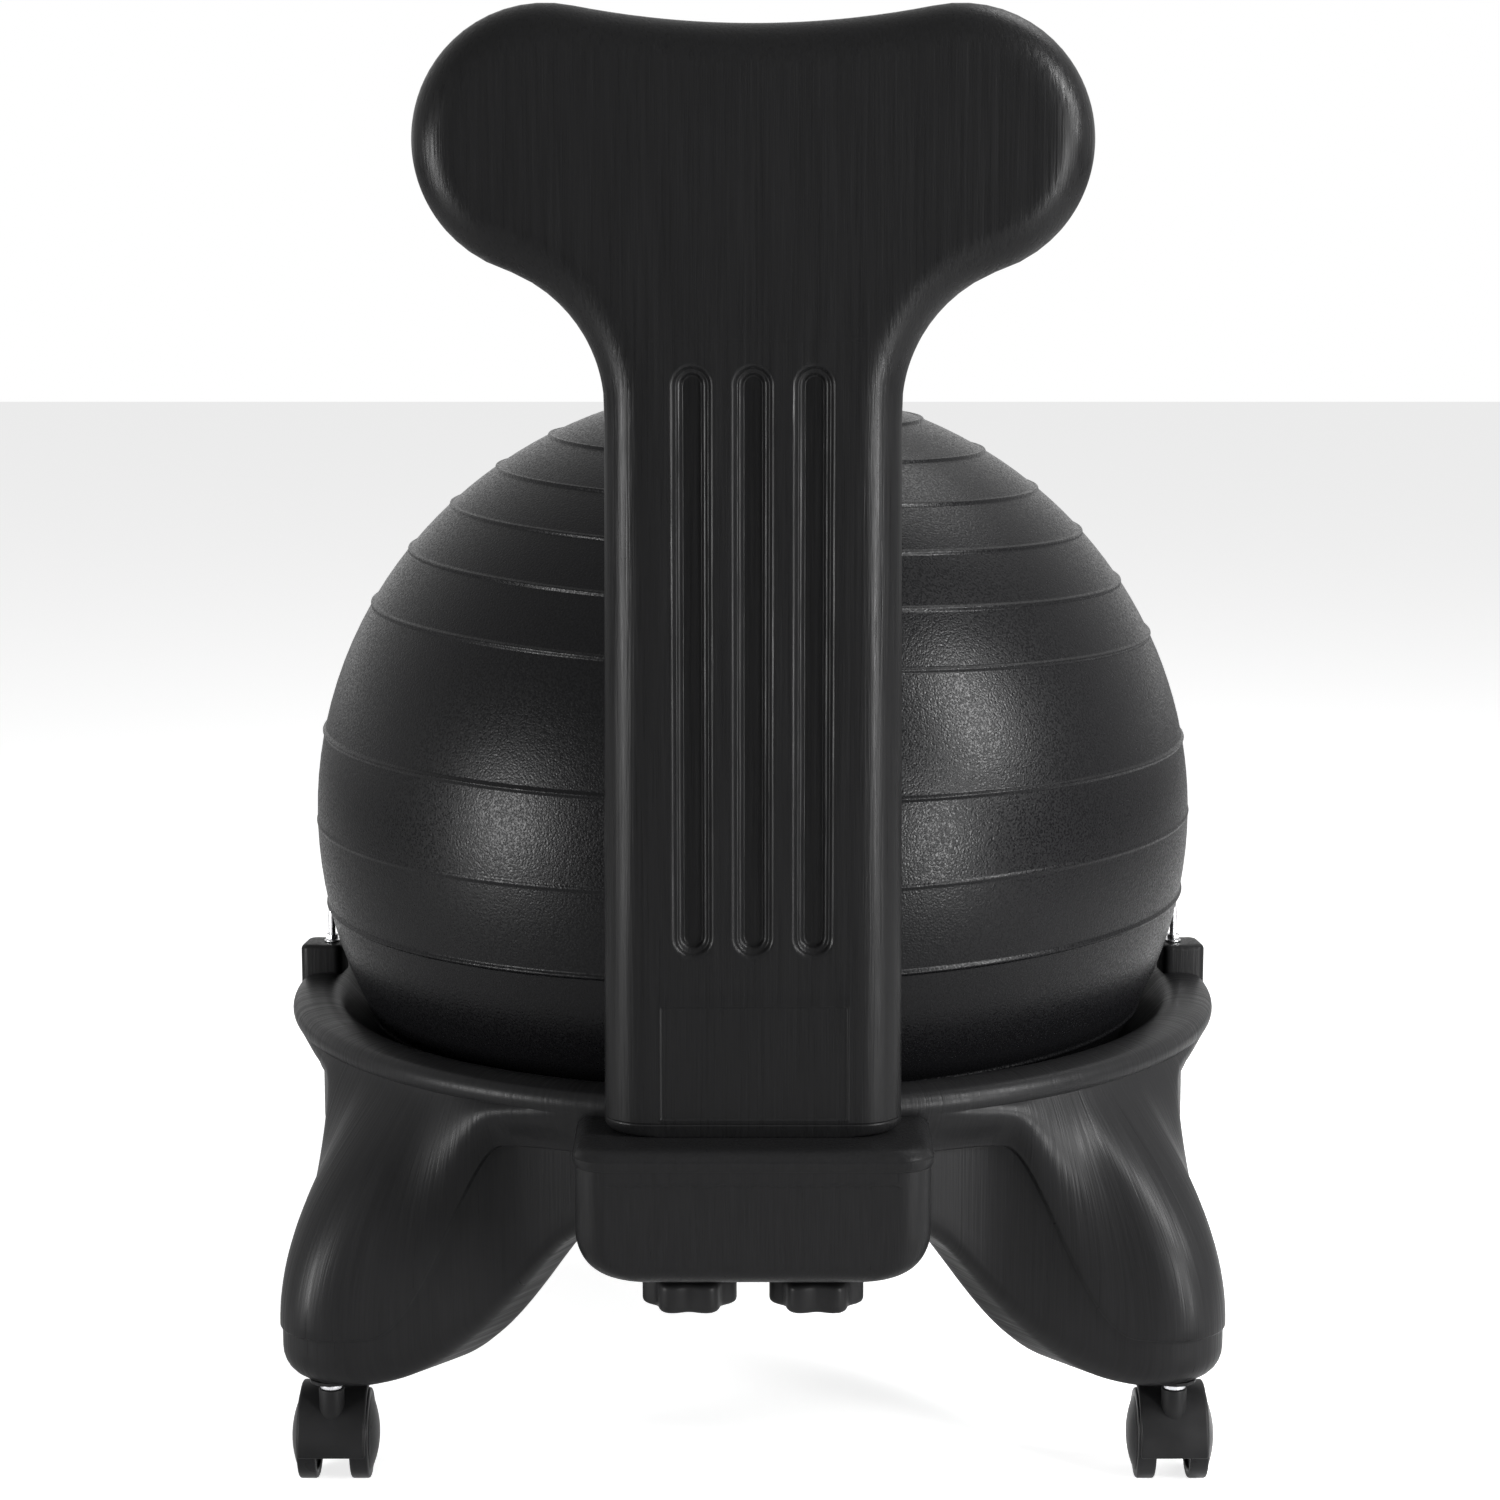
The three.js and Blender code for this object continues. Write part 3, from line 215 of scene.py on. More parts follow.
def base_sections(offset):
    """Sections of the base as (radius, height) for each offset from the nearest leg's axis: the
    sole outwards, a quarter round, the lower wall, the parting step, the skirt as a Bezier curve
    from the step up to the rim, the rim's roll, and the seat down to the inner wall."""
    def column(*values):
        return np.stack([np.broadcast_to(v, offset.shape) for v in values], -1)

    weight = falls(offset, *FLANK)
    root = falls(offset, *SOLE_RISE)
    shoulder = falls(offset, math.radians(13), math.radians(31))
    step = mix(3.4, 1.6, weight)
    edge_round = mix(11, 18, weight)[:, None]
    edge = column(parting_radius(offset), mix(RING_PARTING_Z, FOOT_PARTING_Z, weight))
    wall = edge[:, 0] - step
    under = mix(RING_BOTTOM_Z, FOOT_Z, root)
    inner = SEAT_RADIUS - 2.6
    root_z = mix(RING_BOTTOM_Z, LEG_ROOT_Z, falls(offset, SOLE_RISE[0], 1.5 * FLANK[1]))
    share = np.linspace(0, 1, 16)[None]
    sole = np.stack([mix(inner, wall[:, None] - edge_round, share),
                     mix(root_z[:, None], under[:, None], smooth(share, 0, 0.62))], -1)
    turn = np.radians(np.linspace(0, 90, 8)[1:])[None]
    quarter = np.stack([wall[:, None] - edge_round * (1 - np.sin(turn)),
                        under[:, None] + edge_round * (1 - np.cos(turn))], -1)
    rise = np.linspace(0, 1, 8)[None, 1:]
    side = np.stack([np.broadcast_to(wall[:, None], (len(offset), 7)),
                     mix(under[:, None] + edge_round, edge[:, 1, None] - 1.6, rise)], -1)
    lip = np.stack([column(wall + 0.25 * step, edge[:, 1] - 1.1), column(edge[:, 0] - 0.7, edge[:, 1] - 0.9),
                    column(edge[:, 0] - 0.15, edge[:, 1] - 0.4)], 1)
    roll = arc((RIM_RADIUS - RIM_ROLL, RIM_Z - 9.5), RIM_ROLL, -34, 75, 16)
    start = roll[0]
    control = [edge, column(edge[:, 0], mix(edge[:, 1], start[1], mix(0.3, 0.52, weight))),
               column(start[0] - mix(5.6, -9, shoulder), start[1] - mix(8.3, 21, weight)), column(*start)]
    share = np.linspace(0, 1, 40)[:-1]
    skirt = bezier(control, share)
    full = LEG_FULLNESS * ridge(np.abs(offset) - math.radians(8.5), math.radians(8))
    skirt[..., 0] += full[:, None] * 4 * share * (1 - share)
    rim_inner, inner_z = 246.0, RIM_Z - 4
    crown = bezier([roll[-1:], roll[-1:] + [-7.7, 2.1], np.array([[252.0, RIM_Z + 1]]),
                    np.array([[rim_inner, inner_z]])], np.linspace(0, 1, 12)[1:-1])[0]
    gap = rim_inner - ball_radius_at(inner_z) - GAP
    down = np.linspace(1, 0, 18)
    seat_z = mix(SEAT_Z, inner_z, down)
    seat = np.stack([ball_radius_at(seat_z) + GAP + gap * down**1.5, seat_z], -1)
    fixed = np.concatenate([roll, crown, seat, [[inner, SEAT_Z - 4], [inner, SEAT_Z - 8]]])
    last = column(inner, root_z)[:, None]
    return np.concatenate([sole, quarter, side, lip, skirt,
                           np.broadcast_to(fixed, (len(offset), *fixed.shape)), last], 1)


def base_mesh():
    """Sections stand round the ring, closest on the flanks of each leg. The UV runs round the
    ring in u and down each section in v, in millimetres."""
    near = np.concatenate([np.linspace(0, 0.115, 16)[:-1], np.linspace(0.115, 0.30, 30)[:-1],
                           np.linspace(0.30, 0.8, 14)])
    quarter = math.pi / 2
    azimuth = []
    for quadrant in range(4):
        mirrored = quadrant % 2 == 1
        leg = quadrant * quarter + (quarter - LEG_ANGLE if mirrored else LEG_ANGLE)
        before, after = (quarter - LEG_ANGLE, LEG_ANGLE) if mirrored else (LEG_ANGLE, quarter - LEG_ANGLE)
        low = leg - np.append(near[near < before - 0.01], before)[::-1]
        high = leg + near[near < after - 0.01][1:]
        offsets = np.concatenate([low, high])
        azimuth.append(np.stack([offsets, offsets - leg], -1))
    azimuth = np.concatenate(azimuth + [[azimuth[0][0] + [TURN, 0]]])
    sections = base_sections(azimuth[:, 1])
    angle = azimuth[:, 0, None]
    radius, z = sections[..., 0], sections[..., 1]
    points = np.stack([radius * np.cos(angle), radius * np.sin(angle), z], -1)
    length = np.cumsum(np.hypot(*np.moveaxis(np.diff(sections, axis=1, prepend=sections[:, :1]), -1, 0)), 1)
    uv = np.stack([np.broadcast_to(angle * 270, length.shape), length], -1)
    return sheet_mesh("base_body", points, uv=uv, sharp=38)


def rounded_outline(width, height, lower, upper, count=12):
    """Half sizes and corner radii of a rounded rectangle about its middle, as closed points."""
    w, h = width / 2, height / 2
    return np.concatenate([
        arc((w - lower, lower - h), lower, -90, 0, count),
        arc((w - upper, h - upper), upper, 0, 90, count),
        arc((upper - w, h - upper), upper, 90, 180, count),
        arc((lower - w, lower - h), lower, 180, 270, count),
    ])


def box_mesh():
    """The socket box as plan outlines stacked along Z: half width and rear reach fall back in
    quarter rounds at the bottom, a bead stands proud at the top, and a rough parting line runs
    below it. The front edge lies inside the ring."""
    half, corner, front = 94.0, 17.0, -244.0
    rear = BACK_REAR_Y - 26

    def drawn_in(height, radius):
        """How far a quarter round of a radius draws in at a height above its start."""
        rise = np.clip(radius - height, 0, radius)
        return radius - np.sqrt(radius**2 - rise**2)

    low = BOX_BOTTOM_Z + 27 * (1 - np.cos(np.linspace(0, math.pi / 2, 20)))
    z = np.concatenate([low[:-1], spans((low[-1], 199, 16), (199, 207, 20), (207, 222, 30))])
    bead_foot, bead_top = 210.5, BOX_TOP_Z
    bead_half = (bead_top - bead_foot) / 2
    bead = np.sqrt(np.clip(1 - ((z - bead_foot - bead_half) / bead_half) ** 2, 0, 1))
    back = 1.3 * (1 - bead)
    back = np.where(z > bead_foot + bead_half, drawn_in(BOX_TOP_Z - z, 9.0), back)
    side_in = drawn_in(z - BOX_BOTTOM_Z, 27.0) + back
    rear_in = drawn_in(z - BOX_BOTTOM_Z, 13.0) + back
    width = half - side_in
    turn = np.linspace(0, math.pi / 2, 16)
    reach = np.minimum(corner, width)[:, None]
    across = spans((-1, 1, 230))[None, 1:-1]
    rear_y = rear + rear_in[:, None]
    flat = (width[:, None] - reach) * across
    left = np.stack([-width[:, None] + reach * (1 - np.cos(turn)),
                     rear_y + reach * (1 - np.sin(turn))], -1)
    right = left[:, ::-1] * [-1, 1]
    wobble = 0.35 * np.sin(0.31 * flat) + 0.25 * np.sin(1.13 * flat + 1) + 0.2 * np.sin(2.9 * flat)
    line = z[:, None] - 204.2 - wobble
    ragged = 0.5 + 0.5 * np.sin(0.83 * flat) * np.sin(0.21 * flat + 2)
    seam = 0.34 * ridge(line, 0.7) * ragged - 0.3 * ridge(line + 1.1, 0.8)
    face = np.stack([flat, rear_y - seam], -1)
    ends = [np.stack([sign * width[:, None], np.full((len(z), 1), front)], -1) for sign in (-1, 1)]
    rows = np.concatenate([ends[0], left, face, right, ends[1], ends[0]], 1)
    points = np.concatenate([rows, np.broadcast_to(z[:, None, None], (*rows.shape[:2], 1))], -1)
    inner = [0.5, 0.0]
    caps = [[mix(points[i].mean(0), points[i], share) for share in inner] for i in (0, -1)]
    return sheet_mesh("base_socket", np.concatenate([caps[0][::-1], points, caps[1]]), sharp=48)


def lug_mesh(sign):
    """A lug block with rounded corners, drawn in to a softly rounded top."""
    outline = rounded_outline(25, 26, 5, 5, 7)
    angle = LUG_ANGLE if sign > 0 else math.pi - LUG_ANGLE
    radius = BALL_RADIUS + 4.5
    top = 252.4
    steps = [(216, 0), (top - 3, 0), *[(top - 3 + 3 * math.sin(a), 3 * (1 - math.cos(a)))
                                       for a in np.radians(np.linspace(15, 90, 6))], (top, 9)]
    rows = []
    for z, inset in steps:
        shrunk = outline * (1 - inset / 12.75)
        x = shrunk[:, 0] * math.cos(angle) - shrunk[:, 1] * math.sin(angle)
        y = shrunk[:, 0] * math.sin(angle) + shrunk[:, 1] * math.cos(angle)
        rows.append(np.stack([x + radius * math.cos(angle), y + radius * math.sin(angle),
                              np.full(len(x), z)], -1))
    rows = np.array(rows)
    rows = np.concatenate([rows, rows[:, :1]], 1)
    caps = [np.broadcast_to(rows[i].mean(0), rows[i].shape)[None] for i in (0, -1)]
    return sheet_mesh("lug", np.concatenate([caps[0], rows, caps[1]]), sharp=45)


# Backrest: a flat T-shaped pad with pillowed edges and three stepped grooves

LOBE_X, LOBE_R, BACK_TOP = 104.0, 68.0, 803.0
LOBE_Z, DIP_Z = BACK_TOP - LOBE_R, BACK_TOP - 10
DIP_R = (LOBE_X**2 + (DIP_Z - LOBE_Z) ** 2 - LOBE_R**2) / (2 * (LOBE_R - (DIP_Z - LOBE_Z)))
DIP_ANGLE = math.asin(LOBE_X / (LOBE_R + DIP_R))
COLUMN_TOP, COLUMN_FOOT, FILLET_R, FOOT_R = 75.8, 78.0, 75.0, 6.0
FILLET_X = COLUMN_TOP + FILLET_R
FILLET_Z = LOBE_Z - math.sqrt((LOBE_R + FILLET_R) ** 2 - (FILLET_X - LOBE_X) ** 2)
LOBE_END = math.atan2(FILLET_Z - LOBE_Z, FILLET_X - LOBE_X)
BACK_FOOT = BOX_TOP_Z + GAP
PILLOW_R, CHAMFER = 24.0, 7.0


def half_width(z):
    """Half the pad's width at a height below the lobes' middle: corner, column, fillet, lobe."""
    column = mix(COLUMN_FOOT, COLUMN_TOP, np.clip((z - BACK_FOOT) / (FILLET_Z - BACK_FOOT), 0, 1))
    rise = np.clip(FOOT_R - (z - BACK_FOOT), 0, FOOT_R)
    corner = column - FOOT_R + np.sqrt(FOOT_R**2 - rise**2)
    join = FILLET_Z + FILLET_R * math.sin(LOBE_END + math.pi)
    fillet = FILLET_X - np.sqrt(np.clip(FILLET_R**2 - (z - FILLET_Z) ** 2, 0, None))
    lobe = LOBE_X + np.sqrt(np.clip(LOBE_R**2 - (z - LOBE_Z) ** 2, 0, None))
    return np.where(z < FILLET_Z, corner, np.where(z < join, fillet, lobe))


def edge_distance(x, z):
    """Distance in from the pad's outline above its foot, as the least of those to its arcs and
    lines, each taken only where its own arc or line is the nearest."""
    x = np.abs(x)
    far = np.full(x.shape, 1e3)
    to_lobe = np.arctan2(z - LOBE_Z, x - LOBE_X)
    on_lobe = (to_lobe > LOBE_END - 0.02) & (to_lobe < math.pi / 2 + DIP_ANGLE + 0.02)
    lobe = np.where(on_lobe, LOBE_R - np.hypot(x - LOBE_X, z - LOBE_Z), far)
    dip_centre = DIP_Z + DIP_R
    on_dip = np.arctan2(x, dip_centre - z) < DIP_ANGLE
    dip = np.where(on_dip, np.hypot(x, z - dip_centre) - DIP_R, far)
    to_fillet = np.arctan2(z - FILLET_Z, x - FILLET_X) % TURN
    on_fillet = (to_fillet > LOBE_END + math.pi - 0.02) & (to_fillet < math.pi + 0.001)
    fillet = np.where(on_fillet, np.hypot(x - FILLET_X, z - FILLET_Z) - FILLET_R, far)
    wide = mix(COLUMN_FOOT, COLUMN_TOP, np.clip((z - BACK_FOOT) / (FILLET_Z - BACK_FOOT), 0, 1))
    side = np.where(z <= FILLET_Z, wide - x, far)
    corner = np.where(z < BACK_FOOT + FOOT_R, half_width(z) - x, far)
    return np.clip(np.minimum.reduce([lobe, dip, fillet, side, corner]), 0, None)


GROOVE_X = (-31.0, 0.0, 31.0)
GROOVE_TOP, GROOVE_FOOT, GROOVE_R = 624.0, 318.0, 10.7
PLATE_X, PLATE_Z = (-48.0, 49.0), (232.0, 292.0)


GROOVE_STEPS = np.array([
    (-0.8, 0), (-0.4, 0.04), (0, 0.15), (0.4, 0.33), (0.8, 0.6), (1.2, 0.98), (1.5, 1.5), (2.4, 3.1),
    (2.8, 3.3), (3.4, 3.35), (3.8, 3.45), (4.2, 3.65), (4.6, 3.95), (5.0, 4.4), (5.3, 5.0), (5.7, 5.9),
    (6.0, 6.15), (6.4, 6.2),
])


def groove_depth(x, z):
    """Depth of the stepped grooves by the distance in from their outline: a rounded lip, a steep
    wall, a ledge with a rounded edge, and a wall to the floor."""
    depth = np.zeros(x.shape)
    middle, reach = (GROOVE_TOP + GROOVE_FOOT) / 2, (GROOVE_TOP - GROOVE_FOOT) / 2 - GROOVE_R
    for centre in GROOVE_X:
        from_line = np.hypot(x - centre, np.clip(np.abs(z - middle) - reach, 0, None))
        depth += np.interp(GROOVE_R - from_line, *GROOVE_STEPS.T)
    return depth


def plate_depth(x, z):
    """Depth of the bare plate place: a flat rectangle a little below the face, inside a fine rim."""
    inside = np.minimum.reduce([x - PLATE_X[0], PLATE_X[1] - x, z - PLATE_Z[0], PLATE_Z[1] - z])
    return 0.45 * smooth(inside, 0, 0.5) - 0.22 * ridge(inside + 0.5, 0.7)


def backrest_mesh():
    """Rows of the pad's front and rear faces: straight across the column and lobes, then bent
    to the top edge. Each face falls back to the middle plane as an arc of a circle over the
    distance to the outline, and the rear one holds the grooves. The foot is chamfered and flat."""
    inner = 51.0
    fine = spans((-inner, inner, 290))
    outer = 1 - (1 - np.linspace(0, 1, 27)[1:]) ** 1.7
    share = np.concatenate([-(inner + outer[::-1]), fine, inner + outer])

    def across(s, width):
        """The place across a row: fixed near the middle, stretched to the outline outside."""
        beyond = np.clip(np.abs(s) - inner, 0, 1)
        return np.sign(s) * np.where(np.abs(s) <= inner, np.abs(s), mix(inner, width, beyond))

    join_z = 690.0
    z_rows = BACK_FOOT + spans((0, FOOT_R, 7), (FOOT_R, CHAMFER + 1, 8))
    z_rows = np.concatenate([z_rows[:-1], spans(
        (z_rows[-1], 231, 1), (231, 233, 4), (233, 291, 6), (291, 293, 4), (293, 316, 3), (316, 334, 20),
        (334, 608, 20), (608, 626, 20), (626, 634, 2), (634, 638, 6), (638, join_z, 10))])
    width = half_width(z_rows)
    lower = np.stack([across(share[None], width[:, None]),
                      np.broadcast_to(z_rows[:, None], (len(z_rows), len(share)))], -1)
    flank = arc((LOBE_X, LOBE_Z), LOBE_R, math.degrees(math.asin((join_z - LOBE_Z) / LOBE_R)), 0, 44)
    lobe = arc((LOBE_X, LOBE_Z), LOBE_R, 0, 90 + math.degrees(DIP_ANGLE), 60)
    dip = arc((0, DIP_Z + DIP_R), DIP_R, -90 + math.degrees(DIP_ANGLE), -90, 40)
    top = np.concatenate([lobe, dip[1:]])
    run = np.concatenate([[0], np.cumsum(np.hypot(*np.diff(top, axis=0).T))])
    top_run = np.interp(inner, -top[::-1, 0] * -1, run[::-1])
    beyond = np.clip(np.abs(share) - inner, 0, 1)
    along = np.where(np.abs(share) <= inner, np.interp(np.abs(share), top[::-1, 0], run[::-1]),
                     mix(top_run, 0, beyond))
    crest = np.stack([np.sign(share) * np.interp(along, run, top[:, 0]),
                      np.interp(along, run, top[:, 1])], -1)
    t = (1 - (1 - np.linspace(0, 1, 36)) ** 1.5)[:, None, None]
    first = lower[-1][None]
    flat = mix(first, crest[None], t)
    side_run = np.linspace(0, 1, len(flank))
    side = np.stack([np.interp(t[:, 0, 0], side_run, flank[:, k]) for k in (0, 1)], -1)
    miss = side[:, None] - flat[:, -1:]
    pulled = (beyond**4)[None, :, None] * miss * np.stack([np.sign(share), np.ones_like(share)], -1)[None]
    upper = flat + pulled
    face = np.concatenate([lower, upper[1:]])
    x, z = face[..., 0], face[..., 1]
    inset = edge_distance(x, z)
    inset[-1] = 0
    inset[:, 0] = inset[:, -1] = 0
    half = (BACK_FRONT_Y - BACK_REAR_Y) / 2
    band = math.sqrt(PILLOW_R**2 - (PILLOW_R - half) ** 2)
    swell = half - PILLOW_R + np.sqrt(PILLOW_R**2 - np.clip(band - inset, 0, band) ** 2)
    swell *= 1 - 0.06 * np.clip(1 - (z - BACK_FOOT) / CHAMFER, 0, 1)
    swell = np.clip(swell, 0, None)
    seam = 0.14 * ridge(z - 636, 0.8) * (np.abs(x) < 56) - 0.35 * ridge(z - BACK_FOOT - CHAMFER, 0.7)
    rear = np.stack([x, BACK_MIDDLE_Y - swell + groove_depth(x, z) + plate_depth(x, z) - seam, z], -1)
    front = np.stack([x, BACK_MIDDLE_Y + swell, z], -1)
    rear, front = (np.concatenate([face[:1] * [1, 0, 1] + [0, BACK_MIDDLE_Y, 0], face])
                   for face in (rear, front))
    x = rear[..., 0]
    rows, columns = x.shape
    quads = grid_quads(rows, columns)
    points = np.concatenate([rear.reshape(-1, 3), front.reshape(-1, 3)])
    back = quads[:, ::-1] + rows * columns
    return studio_mesh("backrest_pad", points, np.concatenate([quads, back]), sharp=60)


# Ball: a flattened sphere with ring ribs and a mould seam

UPPER_RIBS = (0.193, 0.465, 0.589, 0.698, 0.79, 0.87, 0.935)
LOWER_RIBS = (0.193, 0.465, 0.589, 0.73, 0.81, 0.88, 0.94)


def ball_mesh():
    """Rows of nearly level rings, tilted a little to one side above the seam. The skin is
    (R cos e cos a, R cos e sin a, h sin e), and each rib adds a low rounded ridge."""
    ribs = np.concatenate([-np.arcsin(LOWER_RIBS)[::-1], [0.0], np.arcsin(UPPER_RIBS)])
    heights = np.array([1.3] * len(LOWER_RIBS) + [0.5] + [1.3] * len(UPPER_RIBS))
    reach = 2.0 / BALL_RADIUS
    stops = [-math.pi / 2]
    for rib in ribs:
        start = stops[-1]
        count = max(2, math.ceil((rib - 1.5 * reach - start) / math.radians(3.0)))
        stops += list(np.linspace(start, rib - 1.5 * reach, count + 1)[1:])
        stops += list(np.linspace(rib - 1.5 * reach, rib + 1.5 * reach, 13)[1:])
    count = math.ceil((math.pi / 2 - stops[-1]) / math.radians(3.0))
    stops += list(np.linspace(stops[-1], math.pi / 2, count + 1)[1:])
    level = np.array(stops)[:, None]
    angle = np.linspace(0, TURN, 241)[None]
    lift = sum(h * ridge(level - rib, reach) for rib, h in zip(ribs, heights))
    tilt = np.radians(mix(-1.0, 3.0, smooth(level, math.radians(-8), math.radians(38))))
    tilt = tilt * np.cos(level) ** 0.5
    rise = level - tilt * np.cos(angle)
    rise = np.where(np.abs(level) > 1.55, level + 0 * angle, rise)
    radius = (BALL_RADIUS + lift) * np.cos(rise)
    z = BALL_CENTRE_Z + (BALL_HALF_HEIGHT + lift) * np.sin(rise)
    points = np.stack([radius * np.cos(angle), radius * np.sin(angle), z], -1)
    return sheet_mesh("ball_skin", points, sharp=70)


# Small turned and bent parts

KNOB_FOOT_Z, KNOB_TOP_Z, KNOB_RADIUS, KNOB_DENT = 127.4, 146.4, 25.0, 2.3
ROD_RADIUS, ROD_RING, ROD_Z, ROD_BEND = 2.1, 258.2, 284.0, 18.0


def rounded(points, radius, count=5):
    """A profile with each inner corner replaced by a quadratic Bezier of that reach."""
    points = np.asarray(points, float)
    out = [points[:1]]
    for before, corner, after in zip(points, points[1:], points[2:]):
        ends = []
        for other in (before, after):
            away = other - corner
            reach = min(radius, np.hypot(*away) * 0.49)
            ends.append(corner + away / np.hypot(*away) * reach)
        t = np.linspace(0, 1, count)[:, None]
        out.append((1 - t) ** 2 * ends[0] + 2 * t * (1 - t) * corner + t**2 * ends[1])
    return np.concatenate(out + [points[-1:]])


def knob_mesh(x):
    """A knob with six lobes: radius R - d (1 - cos 6a), less the inset of its rounded profile,
    and a round hub with a shallow dish under the washer."""
    angle = np.linspace(0, TURN, 145)[None]
    height = KNOB_TOP_Z - KNOB_FOOT_Z
    outer = rounded([(9, 0), (KNOB_RADIUS, 0), (KNOB_RADIUS, height - 3.5), (15.5, height - 3.5)], 3.2, 8)
    hub = rounded([(15.5, height - 3.5), (13.2, height - 3.2), (12.8, height), (4.4, height)], 0.8, 4)
    foot = np.array([(0, 1.6), (5, 1.5), (8, 0.9)])
    profile = np.concatenate([foot, outer, hub[1:], [(4.4, height - 4), (0, height - 4)]])
    share = smooth(profile[:, 0], 12, 22)[:, None]
    radius = profile[:, :1] - KNOB_DENT * (1 - np.cos(6 * angle)) * share
    points = np.stack([x + radius * np.cos(angle), BACK_MIDDLE_Y + radius * np.sin(angle),
                       np.broadcast_to(KNOB_FOOT_Z + profile[:, 1:], radius.shape)], -1)
    return sheet_mesh("knob", points, sharp=55)


def bar_mesh():
    """The bar's line lies on a cylinder round the ball, so its section circle stands on the
    outward direction and on the line's own sideways one. Each end rises, bends and runs round."""
    bend = np.linspace(0, math.pi / 2, 15)
    along = ROD_BEND * (1 - np.cos(bend)) / ROD_RING
    height = ROD_Z - ROD_BEND * (1 - np.sin(bend))
    hoop = np.linspace(LUG_ANGLE + along[-1], math.pi - LUG_ANGLE - along[-1], 122)[1:-1]
    rise = np.linspace(218.4, height[0], 8)[:-1]
    start = np.concatenate([np.full(len(rise), LUG_ANGLE), LUG_ANGLE + along])
    level = np.concatenate([rise, height])
    angle = np.concatenate([start, hoop, math.pi - start[::-1]])
    z = np.concatenate([level, np.full(len(hoop), ROD_Z), level[::-1]])
    out = np.stack([np.cos(angle), np.sin(angle), np.zeros_like(angle)], -1)
    line = ROD_RING * out + z[:, None] * [0, 0, 1]
    tangent = np.gradient(line, axis=0)
    tangent /= np.linalg.norm(tangent, axis=1, keepdims=True)
    side = np.cross(tangent, out)
    turn = np.linspace(0, TURN, 21)[None, :, None]
    tube = line[:, None] + ROD_RADIUS * (np.cos(turn) * out[:, None] + np.sin(turn) * side[:, None])
    caps = [np.broadcast_to(line[i], tube[i].shape)[None] for i in (0, -1)]
    return sheet_mesh("bar", np.concatenate([caps[0], tube, caps[1]]), sharp=50)


def nut_mesh(sign, low, high):
    """A hexagon prism cut by a cone at both faces: the least of flat / cos(a) and the cone."""
    angle = np.linspace(0, TURN, 97)[None]
    flat = 3.5
    hexagon = flat / np.cos((angle + math.pi / 6) % (math.pi / 3) - math.pi / 6)
    z = np.concatenate([np.linspace(low, low + 0.5, 4), np.linspace(high - 0.5, high, 4)])[:, None]
    radius = np.minimum(hexagon, flat * 0.97 + 1.73 * np.minimum(z - low, high - z))
    bore = np.full((1, angle.size), ROD_RADIUS + 0.2)
    radius = np.concatenate([bore, radius, bore, bore])
    z = np.concatenate([[[low]], z, [[high]], [[low]]])
    cx, cy = sign * ROD_RING * math.cos(LUG_ANGLE), ROD_RING * math.sin(LUG_ANGLE)
    points = np.stack([cx + radius * np.cos(angle), cy + radius * np.sin(angle),
                       np.broadcast_to(z, radius.shape)], -1)
    return sheet_mesh("nut", points, sharp=25)


def ring_profile(inner, outer, low, high, edge):
    """A closed profile of a flat ring with rounded outer edges."""
    corners = rounded([(inner, low), (outer, low), (outer, high), (inner, high)], edge, 4)
    return np.concatenate([corners, corners[:1]])


# Casters, drawn about the stem, with the axle a trail's length towards +Y

HOOD_INNER, HOOD_OUTER, HOOD_HALF = 26.5, 29.5, 18.6
AXLE_Z = WHEEL_RADIUS


def across_caster(section, half_width, edge, place):
    """Carries a closed section along X between two ends whose edges round off. The section is
    a function of how far its outline is drawn in, and gives Y and Z about the axle."""
    turn = np.linspace(0, math.pi / 2, 7)
    inset = edge * (1 - np.sin(turn))
    reach = half_width - edge * (1 - np.cos(turn))
    steps = [*zip(-reach, inset), *zip(reach[::-1], inset[::-1])]
    steps = [(-half_width, edge), *steps, (half_width, edge)]
    rows = []
    for x, inward in steps:
        outline = section(inward)
        outline = np.concatenate([outline, outline[:1]])
        rows.append(np.stack([place[0] + np.full(len(outline), x), place[1] + CASTER_TRAIL + outline[:, 0],
                              AXLE_Z + outline[:, 1]], -1))
    rows = np.array(rows)
    middle = [np.broadcast_to(rows[i].mean(0), rows[i].shape)[None] for i in (0, -1)]
    return rows, middle


def hood_mesh(place):
    """A rounded strip in X and radius, carried round the axle by angle, with rounded ends."""
    half = (HOOD_OUTER - HOOD_INNER) / 2
    middle, edge = HOOD_INNER + half, 1.35
    turn = np.linspace(0, math.pi / 2, 6)
    inset, reach = edge * (1 - np.sin(turn)), np.degrees(edge * (1 - np.cos(turn)) / middle)
    low, high = -10.0, 118.0
    angles = np.concatenate([low + reach, np.linspace(low + reach[-1], high - reach[-1], 40)[1:-1],
                             high - reach[::-1]])
    insets = np.concatenate([inset, np.zeros(38), inset[::-1]])
    rows = []
    for degrees, inward in zip(angles, insets):
        outline = rounded_outline(2 * (HOOD_HALF - inward), 2 * (half - inward), 0.1, 1.45 - inward, 6)
        outline = np.concatenate([outline, outline[:1]])
        radius, angle = middle + outline[:, 1], math.radians(degrees)
        rows.append(np.stack([place[0] + outline[:, 0], place[1] + CASTER_TRAIL - radius * math.cos(angle),
                              AXLE_Z + radius * math.sin(angle)], -1))
    rows = np.array(rows)
    caps = [np.broadcast_to(rows[i].mean(0), rows[i].shape)[None] for i in (0, -1)]
    return sheet_mesh("hood", np.concatenate([caps[0], rows, caps[1]]), sharp=50)


